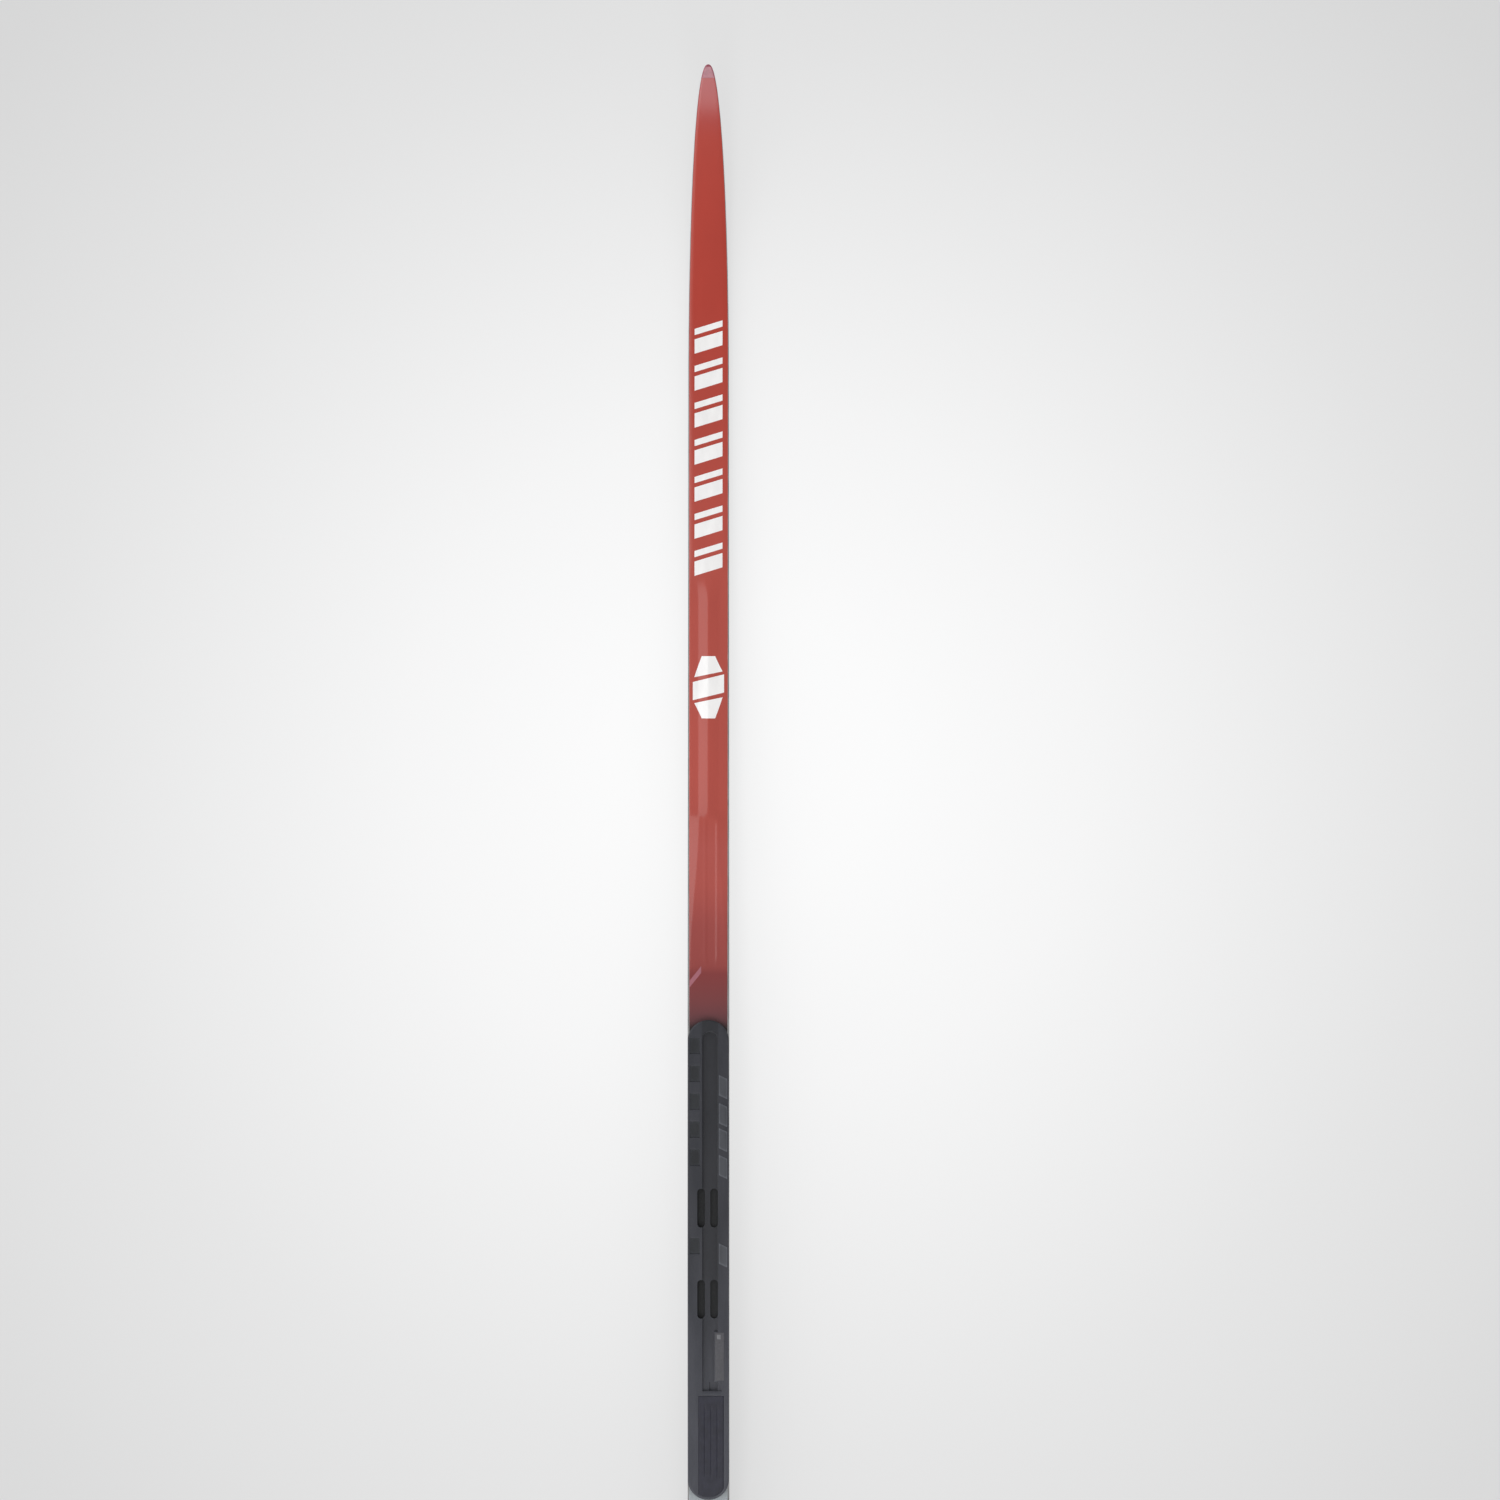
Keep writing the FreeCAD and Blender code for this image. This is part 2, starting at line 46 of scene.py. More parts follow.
# -------- the ski's sizes, as in CAD
LENGTH = 2086 * MM
TIP_X = LENGTH / 2
TAIL_X = -LENGTH / 2
CAMBER = 26 * MM
FRONT_CONTACT = TIP_X - 280 * MM
REAR_CONTACT = TAIL_X + 110 * MM
TIP_RISE = 62 * MM
TIP_CURVE = 2.2
TAIL_RISE = 9 * MM
WAIST_WIDTH = 43.6 * MM
FRONT_WIDTH = 42.2 * MM
REAR_WIDTH = 43 * MM
SHOVEL_LENGTH = 320 * MM
TAIL_TAPER = 46 * MM
OUTLINE_POWER = 0.43
THICK_WAIST = 27 * MM
THICK_TIP = 7 * MM
THICK_TAIL = 8 * MM
THICK_POWER = 1.3
SIDE_LEAN = 0.075

BASE_T = 1.2 * MM
LAMINATE_T = 0.6 * MM
TOPSHEET_T = 0.6 * MM
SIDEWALL_WIDTH = 1.2 * MM
CORE_BOTTOM = BASE_T + LAMINATE_T
CORE_COVER = TOPSHEET_T + LAMINATE_T
GROOVE_HALF = 4 * MM
GROOVE_FLOOR = 2 * MM
GROOVE_DEPTH = 0.8 * MM
GROOVE_FRONT = FRONT_CONTACT - 60 * MM
GROOVE_REAR = REAR_CONTACT + 20 * MM
GROOVE_FADE = 90 * MM

LAYER_FRONT_END = TIP_X - 14 * MM
LAYER_REAR_END = TAIL_X + 12 * MM
CORE_FRONT_END = LAYER_FRONT_END - 230 * MM
CORE_REAR_END = LAYER_REAR_END + 130 * MM

PLATE_FRONT = 50 * MM
PLATE_LENGTH = 500 * MM
PLATE_REAR = PLATE_FRONT - PLATE_LENGTH
PLATE_MIDDLE = (PLATE_FRONT + PLATE_REAR) / 2
PLATE_HALF = 21.4 * MM
BOND_T = 0.5 * MM
BOND_INSET = 2.4 * MM
PLATE_WEB = 1.8 * MM
PLATE_HEIGHT = 4.6 * MM
LIP_BOTTOM = 1.7 * MM
LIP_SLOPE = 0.5 * MM
LIP_OVERHANG = 1.5 * MM
LIP_BEVEL = 0.9 * MM
CHANNEL_LEFT = 6.0 * MM
CHANNEL_RIGHT = -9.9 * MM
CHANNEL_MIDDLE = (CHANNEL_LEFT + CHANNEL_RIGHT) / 2
CHANNEL_HALF = (CHANNEL_LEFT - CHANNEL_RIGHT) / 2
CHANNEL_START = 12 * MM
CHANNEL_END = 386 * MM
NOTCH_START = 18 * MM
NOTCH_LENGTH = 17 * MM
NOTCH_PITCH = 29 * MM
NOTCH_DEPTH = 1.1 * MM
NOTCH_COUNT = 5
NOTCH_GAP_START = 226 * MM
NOTCH_INNER = CHANNEL_LEFT + 2.6 * MM
NOTCH_OUTER = PLATE_HALF - 2.2 * MM
SLOT_WIDTH = 7.9 * MM
SLOT_LENGTH = 40.5 * MM
SLOT_STARTS = (175 * MM, 270 * MM)
SLOT_SIDES = (7.5 * MM, -6.1 * MM)
LABEL_START = 325 * MM
LABEL_LENGTH = 50 * MM
LABEL_T = 0.3 * MM
LABEL_LEFT = -7.2 * MM
LABEL_RIGHT = -16.4 * MM
LABEL_BORDER = 1 * MM
STEP_START = 377 * MM
STEP_LENGTH = 9 * MM
STEP_LEFT = -1.1 * MM
STEP_RIGHT = -13.9 * MM
STEP_HEIGHT = 3.2 * MM
HEEL_START = 391 * MM
HEEL_LEFT = 10.2 * MM
HEEL_RIGHT = -16.0 * MM
HEEL_POCKET = 1.6 * MM
HEEL_PROUD = 0.5 * MM
HEEL_REAR_GAP = 3 * MM

# The cap's relief in zones: (inner line and outer line as shares of the half width, each followed
# by its drop in mm, and the edge's drop). It follows CAD's zones, with finer lines.
FLAT = (0.3, 0.0, 0.8, 0.08, 0.4)
RIDGE = (0.02, 0.03, 0.53, 1.35, 1.6)
CHANNELLED = (0.3, 0.0, 0.48, 0.0, 1.4)
PLATFORM = (0.3, 0.0, 0.93, 0.0, 0.15)
LEVEL = (0.3, 0.0, 0.93, 0.0, 0.0)
ZONES = [
    (-850, -790, RIDGE),
    (-668, -660, CHANNELLED),
    (-660, -506, PLATFORM),
    (-490, -458, LEVEL),
    (92, 126, PLATFORM),
    (106, 262, CHANNELLED),
    (256, 268, RIDGE),
    (486, 530, FLAT),
]
GUTTER_LEFT = 3.3 * MM      # the channel in the cap before and behind the plate: its rims,
GUTTER_RIGHT = -9.3 * MM
GUTTER_ENDS = [(106 * MM, 262 * MM), (-660 * MM, -506 * MM)]
GUTTER_DEPTH = 0.14 * MM    # its floor below the cap, its rims above it, and their slopes
GUTTER_RIM = 0.2 * MM
GUTTER_WALL = 2.2 * MM
GUTTER_REACH = 2.1 * MM

CREASE_ROUND = 0.9 * MM     # the cap's creases are rounded over this much to each side
EDGE_ROUND = 0.3 * MM
LAYER_STEP = 0.06 * MM      # laminates stand back this much at the sides
PRINT_LIFT = 0.05 * MM      # a printed film stands this much above the cap
FILM_SINK = 0.05 * MM       # the undersides of films and patches lie this deep


def smooth_step(value):
    value = min(1.0, max(0.0, value))
    return value * value * (3 - 2 * value)


def relief(x):
    """The cap's zone values at x, blended where one zone changes to the next."""
    values = FLAT
    for start, end, zone in ZONES:
        share = smooth_step((x / MM - start) / (end - start))
        values = [old + (new - old) * share for old, new in zip(values, zone)]
    return values


def gutter(x, y):
    """How much lower the cap is at a point because of its channels, whose ends are round."""
    radius = (GUTTER_LEFT - GUTTER_RIGHT) / 2
    middle = (GUTTER_LEFT + GUTTER_RIGHT) / 2
    sunk = 0.0
    for rear, front in GUTTER_ENDS:
        beyond = max(0.0, rear + radius - x, x - (front - radius))
        inside = radius - math.hypot(beyond, y - middle)
        if inside >= 0:
            sunk += (GUTTER_DEPTH + GUTTER_RIM) * min(1.0, inside / GUTTER_WALL) - GUTTER_RIM
        else:
            sunk -= GUTTER_RIM * max(0.0, 1 + inside / GUTTER_REACH)
    return sunk


def base_z(x):
    if x > FRONT_CONTACT:
        return TIP_RISE * ((x - FRONT_CONTACT) / (TIP_X - FRONT_CONTACT)) ** TIP_CURVE
    if x < REAR_CONTACT:
        return TAIL_RISE * ((REAR_CONTACT - x) / (REAR_CONTACT - TAIL_X)) ** 2
    middle = (FRONT_CONTACT + REAR_CONTACT) / 2
    half = (FRONT_CONTACT - REAR_CONTACT) / 2
    return CAMBER * (1 - ((x - middle) / half) ** 2) ** 2


def from_waist(x):
    """0 at the binding plate's middle, 1 at the tip and at the tail."""
    end = TIP_X if x > PLATE_MIDDLE else TAIL_X
    return (x - PLATE_MIDDLE) / (end - PLATE_MIDDLE)


def thickness(x):
    end = THICK_TIP if x > PLATE_MIDDLE else THICK_TAIL
    share = min(1.0, from_waist(x))
    return end + (THICK_WAIST - end) * (1 - share ** 2) ** THICK_POWER


def end_taper(distance, taper_length):
    if distance >= taper_length:
        return 1.0
    return (1 - (1 - max(0.0, distance) / taper_length) ** 2) ** OUTLINE_POWER


def half_width(x):
    end = FRONT_WIDTH if x > PLATE_MIDDLE else REAR_WIDTH
    width = WAIST_WIDTH + (end - WAIST_WIDTH) * smooth_step(from_waist(x))
    return width / 2 * end_taper(TIP_X - x, SHOVEL_LENGTH) * end_taper(x - TAIL_X, TAIL_TAPER)


def side_y(x, height):
    """Half width at a height above the base's underside: the side walls lean in."""
    return half_width(x) - SIDE_LEAN * max(0.0, height - CORE_BOTTOM)


class Cap:
    """The cap's section at one station: its face's height at any y, with rounded creases."""

    def __init__(self, x):
        inner_share, inner_drop, outer_share, outer_drop, edge_drop = relief(x)
        self.x = x
        self.floor = base_z(x)
        self.full = thickness(x)
        self.edge = side_y(x, self.full - edge_drop * MM)
        self.knots = [
            (0.0, 0.0),
            (inner_share * self.edge, inner_drop * MM),
            (outer_share * self.edge, outer_drop * MM),
            (self.edge, edge_drop * MM),
        ]

    def drop(self, y):
        across = abs(y)
        for (y_in, drop_in), (y_out, drop_out) in zip(self.knots, self.knots[1:]):
            if across <= y_out or y_out == self.edge:
                slope = (drop_out - drop_in) / (y_out - y_in)
                return drop_in + slope * (across - y_in) + gutter(self.x, y)

    def z(self, y, depth=0.0):
        """World height of the face at y, or of a layer at some depth below it."""
        reach = min(CREASE_ROUND, 0.2 * self.edge)
        samples = [self.drop(y + reach * i / 2) for i in (-2, -1, 0, 1, 2)]
        return self.floor + self.full - sum(samples) / len(samples) - depth


# -------- mesh building
WELD = 0.002 * MM           # points nearer than this become one
SHARP_ANGLE = 40            # degrees between faces from which an edge looks sharp
LONG_PITCH = 4 * MM         # between stations along the ski
FINE_PITCH = 1.5 * MM       # the same in the shovel,
FINE_FROM = TIP_X - 170 * MM    # from here on


def steps(start, end, pitch):
    count = max(1, round(abs(end - start) / pitch))
    return [start + (end - start) * i / count for i in range(count + 1)]


def spread(count):
    """Shares of a half width from left to right, from 1 to -1."""
    return [1 - 2 * i / count for i in range(count + 1)]


def bends(count):
    """Shares of a radius from 0 to 1, closer together where an outline's round end is blunt."""
    return [(i / count) ** 2 for i in range(count + 1)]


def slab(name, stations, upper_at, lower_at, material):
    """A closed solid between an upper and a lower line of points at each station along X.

    upper_at and lower_at return lists of (y, z) from left to right, of one length.
    """
    points = []
    for x in stations:
        points += [(x, y, z) for y, z in upper_at(x)]
    width = len(points) // len(stations)
    for x in stations:
        points += [(x, y, z) for y, z in lower_at(x)]
    lower = width * len(stations)
    faces = []
    for i in range(len(stations) - 1):
        a = i * width
        b = a + width
        for j in range(width - 1):
            faces.append((a + j, b + j, b + j + 1, a + j + 1))
            faces.append((lower + a + j + 1, lower + b + j + 1, lower + b + j, lower + a + j))
        faces.append((a, lower + a, lower + b, b))
        faces.append((b + width - 1, lower + b + width - 1, lower + a + width - 1, a + width - 1))
    for a, flip in ((0, False), (width * (len(stations) - 1), True)):
        for j in range(width - 1):
            face = (a + j, a + j + 1, lower + a + j + 1, lower + a + j)
            faces.append(face[::-1] if flip else face)
    return finish_mesh(name, points, faces, material)


def finish_mesh(name, points, faces, material, sharp=SHARP_ANGLE):
    """A welded, smooth shaded mesh object with one material."""
    mesh = bpy.data.meshes.new(name)
    mesh.from_pydata(points, [], faces)
    work = bmesh.new()
    work.from_mesh(mesh)
    bmesh.ops.remove_doubles(work, verts=work.verts, dist=WELD)
    bmesh.ops.dissolve_degenerate(work, edges=work.edges, dist=WELD)
    bmesh.ops.recalc_face_normals(work, faces=work.faces)
    for face in work.faces:
        face.smooth = True
    work.to_mesh(mesh)
    work.free()
    mesh.set_sharp_from_angle(angle=math.radians(sharp))
    mesh.materials.append(material)
    piece = bpy.data.objects.new(name, mesh)
    bpy.context.scene.collection.objects.link(piece)
    return piece


def settle(piece, slot, *nodes):
    """Fixes a piece to the ski and hides the CAD nodes that it replaces. Its slot is not used."""
    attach(piece, "root")
    if nodes:
        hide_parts(*nodes)
    return piece


def layer(node, suffix, slot, stations, upper_at, lower_at, material):
    """A slab that stands in for one CAD node."""
    settle(slab(node + suffix, stations, upper_at, lower_at, material), slot, node)


def long_stations(start, end):
    """Stations along the ski, closer together in the shovel, where the lines bend."""
    if end <= FINE_FROM:
        return steps(start, end, LONG_PITCH)
    if start >= FINE_FROM:
        return steps(start, end, FINE_PITCH)
    return steps(start, FINE_FROM, LONG_PITCH)[:-1] + steps(FINE_FROM, end, FINE_PITCH)


def sheet_faces(along, across):
    """Faces of a thin closed sheet: a grid, the same grid under it, and the rim between them."""
    row = across + 1
    under = row * (along + 1)
    faces = []
    for i in range(along):
        for j in range(across):
            a = i * row + j
            faces.append((a, a + 1, a + row + 1, a + row))
            faces.append((under + a + row, under + a + row + 1, under + a + 1, under + a))
    rim = [i * row for i in range(along + 1)]
    rim += [along * row + j for j in range(1, row)]
    rim += [i * row + across for i in range(along - 1, -1, -1)]
    rim += [j for j in range(across - 1, 0, -1)]
    for a, b in zip(rim, rim[1:] + rim[:1]):
        faces.append((a, b, under + b, under + a))
    return faces


# -------- materials
def fill_ramp(color_ramp, stops):
    """Sets a new colour ramp to stops of (position, colour)."""
    first, last = color_ramp.elements
    first.position, first.color = stops[0][0], (*stops[0][1], 1)
    last.position, last.color = stops[-1][0], (*stops[-1][1], 1)
    for position, colour in stops[1:-1]:
        color_ramp.elements.new(position).color = (*colour, 1)


class Surface:
    """A material whose nodes are added one after another. Its textures are sized in millimetres."""

    def __init__(self, name, roughness=0.5, **sockets):
        self.material = bpy.data.materials.new(name)
        self.material.use_nodes = True
        self.tree = self.material.node_tree
        self.shader = self.tree.nodes["Principled BSDF"]
        self.shader.inputs["Roughness"].default_value = roughness
        for key, value in sockets.items():
            self.shader.inputs[key.replace("_", " ")].default_value = value
        self.place = self.tree.nodes.new("ShaderNodeTexCoord").outputs["Object"]

    def feed(self, inputs, key, value):
        """Links a node's output to an input, or sets the input to a plain value."""
        if isinstance(value, bpy.types.NodeSocket):
            self.tree.links.new(value, inputs[key])
        else:
            inputs[key].default_value = value

    def add(self, kind, inputs, **settings):
        made = self.tree.nodes.new(kind)
        for key, value in settings.items():
            setattr(made, key, value)
        for key, value in inputs.items():
            self.feed(made.inputs, key, value)
        return made

    def coordinates(self, stretch=1):
        """Object coordinates in millimetres, stretched by a factor along the ski."""
        scale = (1 / (MM * stretch), 1 / MM, 1 / MM)
        return self.add("ShaderNodeMapping", {"Vector": self.place, "Scale": scale}).outputs[0]

    def noise(self, size, stretch=1, detail=3.0):
        """Cloudy noise whose features measure about size millimetres."""
        where = self.coordinates(stretch)
        inputs = {"Vector": where, "Scale": 1 / size, "Detail": detail}
        return self.add("ShaderNodeTexNoise", inputs).outputs["Fac"]

    def cells(self, size):
        inputs = {"Vector": self.coordinates(), "Scale": 1 / size}
        return self.add("ShaderNodeTexVoronoi", inputs).outputs["Distance"]

    def rings(self, width, distortion):
        """Growth rings side by side. At scale 1 the wave texture's bands are 0.314 wide."""
        inputs = {"Vector": self.coordinates(), "Scale": 0.314 / width, "Distortion": distortion}
        return self.add("ShaderNodeTexWave", inputs, bands_direction="Y").outputs["Fac"]

    def along(self, axis):
        """One coordinate, in metres."""
        return self.add("ShaderNodeSeparateXYZ", {"Vector": self.place}).outputs[axis]

    def remap(self, value, low, high, to_low=0.0, to_high=1.0):
        inputs = {"Value": value, "From Min": low, "From Max": high, "To Min": to_low, "To Max": to_high}
        return self.add("ShaderNodeMapRange", inputs).outputs["Result"]

    def ramp(self, value, stops):
        made = self.add("ShaderNodeValToRGB", {"Fac": value})
        fill_ramp(made.color_ramp, stops)
        return made.outputs["Color"]

    def mix(self, factor, first, second, blend="MIX"):
        """A mix of two colours, each a node's output or a tuple of three."""
        first, second = [(*value, 1) if isinstance(value, tuple) else value for value in (first, second)]
        inputs = {"Factor": factor, 6: first, 7: second}
        return self.add("ShaderNodeMix", inputs, data_type="RGBA", blend_type=blend).outputs[2]

    def colour(self, output):
        self.feed(self.shader.inputs, "Base Color", output)

    def roughness(self, value, rough_low, rough_high, low=0.3, high=0.7):
        """Roughness that goes from rough_low to rough_high as a value goes from low to high."""
        self.feed(self.shader.inputs, "Roughness", self.remap(value, low, high, rough_low, rough_high))

    def bump(self, layers):
        """Layers of (height, depth in millimetres), each laid over the one before."""
        normal = None
        for height, depth in layers:
            inputs = {"Height": height, "Distance": depth * MM, "Strength": 1.0}
            if normal is not None:
                inputs["Normal"] = normal
            normal = self.add("ShaderNodeBump", inputs).outputs["Normal"]
        self.feed(self.shader.inputs, "Normal", normal)
        return self.material


def speckled(look, low, high, size, stretch=1):
    """A colour that wanders between two close tones."""
    tone = look.noise(size, stretch)
    return look.mix(look.remap(tone, 0.35, 0.65), low, high)


# ---- the top sheet: colour zones as (place in mm along the ski, colour), from tail to tip
ROSE = (0.375, 0.034, 0.034)
RED = (0.428, 0.04, 0.0225)
# RED_REAR to RED_CHANNEL: the print's red, made paler and greyer by a painted reflection laid into it
RED_REAR = (0.42, 0.067, 0.048)
RED_MIDDLE = (0.405, 0.066, 0.048)
RED_CREST = (0.42, 0.077, 0.061)
RED_CHANNEL = (0.405, 0.074, 0.058)
BRICK = (0.312, 0.055, 0.047)
BROWN = (0.276, 0.049, 0.042)
MAROON = (0.205, 0.031, 0.03)
DARK_MAROON = (0.165, 0.036, 0.037)
PLUM = (0.115, 0.034, 0.039)
SOOT = (0.008, 0.0075, 0.008)
SILVER = (0.29, 0.315, 0.33)
TOP_COLOURS = [
    (-1043, SILVER),
    (-446, SILVER),
    (-420, SOOT),
    (40, SOOT),
    (51, PLUM),
    (70, DARK_MAROON),
    (101, MAROON),
    (107, BROWN),
    (150, BRICK),
    (190, RED_CHANNEL),
    (228, RED_CREST),
    (262, RED_MIDDLE),
    (502, RED_REAR),
    (799, RED),
    (968, RED),
    (1020, ROSE),
    (1043, ROSE),
]


def lacquer():
    look = Surface("topsheet_lacquer", 0.42, Coat_Weight=1.0, Coat_Roughness=0.13, Coat_IOR=1.5,
                   Specular_IOR_Level=0.2)
    place = look.remap(look.along("X"), TAIL_X, TIP_X)
    stops = [((x * MM - TAIL_X) / LENGTH, colour) for x, colour in TOP_COLOURS]
    print_colour = look.ramp(place, stops)
    cloud = look.remap(look.noise(60, 3), 0.3, 0.7, 0.93, 1.06)
    toned = look.mix(1.0, print_colour, cloud, "MULTIPLY")
    flake = look.remap(look.cells(0.35), 0.0, 0.12, 1.16, 1.0)
    look.colour(look.mix(1.0, toned, flake, "MULTIPLY"))
    scratches = look.noise(0.5, 60, 2.0)
    look.roughness(scratches, 0.36, 0.5, high=0.75)
    return look.bump([(look.noise(2.2), 0.012), (scratches, 0.004)])


def print_and_highlight_film(name, colour, darker, roughness=0.35):
    look = Surface(name, roughness, Coat_Weight=1.0, Coat_Roughness=0.08)
    look.colour(speckled(look, darker, colour, 9, 3))
    scratches = look.noise(0.5, 60, 2.0)
    look.roughness(scratches, roughness - 0.06, roughness + 0.08, high=0.75)
    return look.bump([(look.noise(1.8), 0.01), (scratches, 0.004)])


def base_sinter():
    look = Surface("base_sinter", 0.4)
    look.colour(speckled(look, (0.011, 0.011, 0.012), (0.019, 0.019, 0.021), 25, 6))
    ground = look.noise(0.35, 90, 2.0)
    crossing = look.noise(0.9, 14, 2.0)
    look.roughness(ground, 0.3, 0.5)
    return look.bump([(ground, 0.03), (crossing, 0.015)])


def fibre_laminate():
    look = Surface("fibre_laminate", 0.45)
    fibres = look.noise(0.3, 80, 2.0)
    look.colour(look.mix(look.remap(fibres, 0.35, 0.65), (0.09, 0.1, 0.085), (0.2, 0.21, 0.18)))
    look.roughness(fibres, 0.35, 0.55)
    return look.bump([(fibres, 0.02)])


def sidewall_plastic():
    look = Surface("sidewall_plastic", 0.38)
    look.colour(speckled(look, (0.014, 0.014, 0.016), (0.024, 0.024, 0.027), 18, 5))
    milling = look.noise(0.4, 120, 2.0)
    scuffs = look.noise(5, 4, 4.0)
    look.roughness(scuffs, 0.3, 0.52, low=0.4)
    return look.bump([(milling, 0.02), (scuffs, 0.01)])


def guard_plastic():
    look = Surface("guard_plastic", 0.35, Coat_Weight=1.0, Coat_Roughness=0.16)
    look.colour(speckled(look, (0.26, 0.045, 0.075), (0.34, 0.065, 0.1), 4))
    grain = look.noise(0.5, detail=4.0)
    look.roughness(grain, 0.3, 0.42, 0.35, 0.65)
    return look.bump([(grain, 0.02), (look.noise(5), 0.05)])


def plate_plastic(name, dark, light, roughness=0.5):
    """Glass filled nylon: a spark-eroded grain, flow marks, paler edges, rails and heel end."""
    look = Surface(name, roughness, Specular_IOR_Level=0.4)
    body = speckled(look, dark, light, 14, 5)
    edges = look.add("ShaderNodeNewGeometry", {}).outputs["Pointiness"]
    worn = look.remap(edges, 0.52, 0.6, 0.0, 0.5)
    pale = tuple(value * 2.2 for value in light)
    toned = look.mix(worn, body, pale)
    place = look.along("X")
    to_heel = look.remap(place, plate_x(250 * MM), plate_x(430 * MM), 1.0, 2.5)
    toned = look.mix(1.0, toned, to_heel, "MULTIPLY")
    rail_gain = look.remap(place, plate_x(250 * MM), plate_x(390 * MM), 1.6, 1.0)
    from_middle = look.add("ShaderNodeMath", {0: look.along("Y"), 1: -CHANNEL_MIDDLE},
                           operation="ADD").outputs[0]
    across = look.add("ShaderNodeMath", {0: from_middle}, operation="ABSOLUTE").outputs[0]
    on_rail = look.remap(across, CHANNEL_HALF, CHANNEL_HALF + 1 * MM, 1.0, rail_gain)
    look.colour(look.mix(1.0, toned, on_rail, "MULTIPLY"))
    grain = look.noise(0.45, detail=5.0)
    flow = look.noise(7, 6, 2.0)
    look.roughness(grain, roughness - 0.08, roughness + 0.1)
    return look.bump([(flow, 0.05), (grain, 0.05)])


def pad_plastic():
    look = Surface("pad_plastic", 0.48, Specular_IOR_Level=0.4)
    look.colour(speckled(look, (0.0095, 0.0095, 0.0185), (0.0145, 0.0145, 0.027), 8))
    grain = look.cells(0.7)
    look.roughness(look.noise(6), 0.42, 0.56)
    return look.bump([(grain, 0.05)])


def label_film(name, dark, light):
    look = Surface(name, 0.5)
    look.colour(speckled(look, dark, light, 3))
    look.roughness(look.noise(2), 0.42, 0.6)
    return look.bump([(look.noise(0.8), 0.01)])


def foam(name, dark, light, pore):
    look = Surface(name, 0.85, Specular_IOR_Level=0.3)
    pores = look.cells(pore)
    look.colour(look.mix(look.remap(pores, 0.1, 0.6), dark, light))
    look.roughness(pores, 0.95, 0.8, low=0.0)
    return look.bump([(pores, 0.15)])


def wood(name, early, late):
    """Straight grain along the ski, with growth rings across it."""
    look = Surface(name, 0.6)
    rings = look.rings(2.4, 1.5)
    fibres = look.noise(0.3, 70, 3.0)
    tone = look.mix(look.remap(rings, 0.2, 0.8), early, late)
    shade = look.remap(fibres, 0.3, 0.7, 0.82, 1.1)
    look.colour(look.mix(1.0, tone, shade, "MULTIPLY"))
    look.roughness(fibres, 0.5, 0.72)
    return look.bump([(fibres, 0.06)])


# -------- the layers
CAP_COLUMNS = 52
LEVEL_COLUMNS = 8
SIDE_ROWS = 8
GROOVE_SOFT = 0.3 * MM      # the groove's edges are rounded over this much to each side
LAYER_STATIONS = long_stations(LAYER_REAR_END, LAYER_FRONT_END)


def corner_sink(y, half, corner):
    """How far a rounded corner falls away at y. The corner ends at the half width."""
    near = max(0.0, abs(y) - (half - corner))
    return corner - math.sqrt(max(0.0, corner ** 2 - near ** 2))


def rounded_cap_line(cap):
    """The cap's face from left to right, with its outer corners rounded off."""
    corner = min(EDGE_ROUND, 0.3 * cap.edge)
    line = [(cap.edge, cap.z(cap.edge) - corner)]
    for share in spread(CAP_COLUMNS):
        y = share * (cap.edge - 0.3 * corner)
        line.append((y, cap.z(y) - corner_sink(y, cap.edge, corner)))
    return line + [(-cap.edge, cap.z(cap.edge) - corner)]


def plain_cap_line(cap, depth, stand_back=0.0):
    """A line below the cap's face, with sharp outer corners and as many points."""
    edge = cap.edge - stand_back
    line = [(edge, cap.z(edge, depth))]
    line += [(share * edge, cap.z(share * edge, depth)) for share in spread(CAP_COLUMNS)]
    return line + [(-edge, cap.z(edge, depth))]


def topsheet(material):
    layer("topsheet", "_skin", "topsheet_lacquer", LAYER_STATIONS,
          lambda x: rounded_cap_line(Cap(x)), lambda x: plain_cap_line(Cap(x), TOPSHEET_T), material)


def upper_laminate(material):
    layer("upper_laminate", "_sheet", "fibre_laminate", LAYER_STATIONS,
          lambda x: plain_cap_line(Cap(x), TOPSHEET_T, LAYER_STEP),
          lambda x: plain_cap_line(Cap(x), CORE_COVER, LAYER_STEP), material)


def lower_laminate(material):
    def level_line(x, height):
        half = half_width(x) - LAYER_STEP
        return [(half * share, base_z(x) + height) for share in spread(LEVEL_COLUMNS)]

    layer("lower_laminate", "_sheet", "fibre_laminate", LAYER_STATIONS,
          lambda x: level_line(x, CORE_BOTTOM), lambda x: level_line(x, BASE_T), material)


def groove_depth(x):
    inside = min(x - GROOVE_REAR, GROOVE_FRONT - x) / GROOVE_FADE
    return GROOVE_DEPTH * max(0.0, 2 * smooth_step(inside + 0.5) - 1)


def base_line(x):
    """The running surface from left to right: rounded edges and the guide groove."""
    half = half_width(x)
    corner = min(EDGE_ROUND, 0.3 * half)
    wide = min(GROOVE_HALF, 0.4 * half)
    floor = min(GROOVE_FLOOR, 0.2 * half)
    depth = groove_depth(x)
    side = [(half, corner), (half - 0.3 * corner, 0.3 * corner), (half - corner, 0.0),
            ((half + wide) / 2, 0.0), (wide + GROOVE_SOFT, 0.0), (wide, 0.04 * depth),
            (wide - GROOVE_SOFT, 0.16 * depth), (floor + GROOVE_SOFT, 0.9 * depth),
            (floor, 0.98 * depth), (floor / 2, depth)]
    line = side + [(0.0, depth)] + [(-y, height) for y, height in reversed(side)]
    return [(y, base_z(x) + height) for y, height in line]


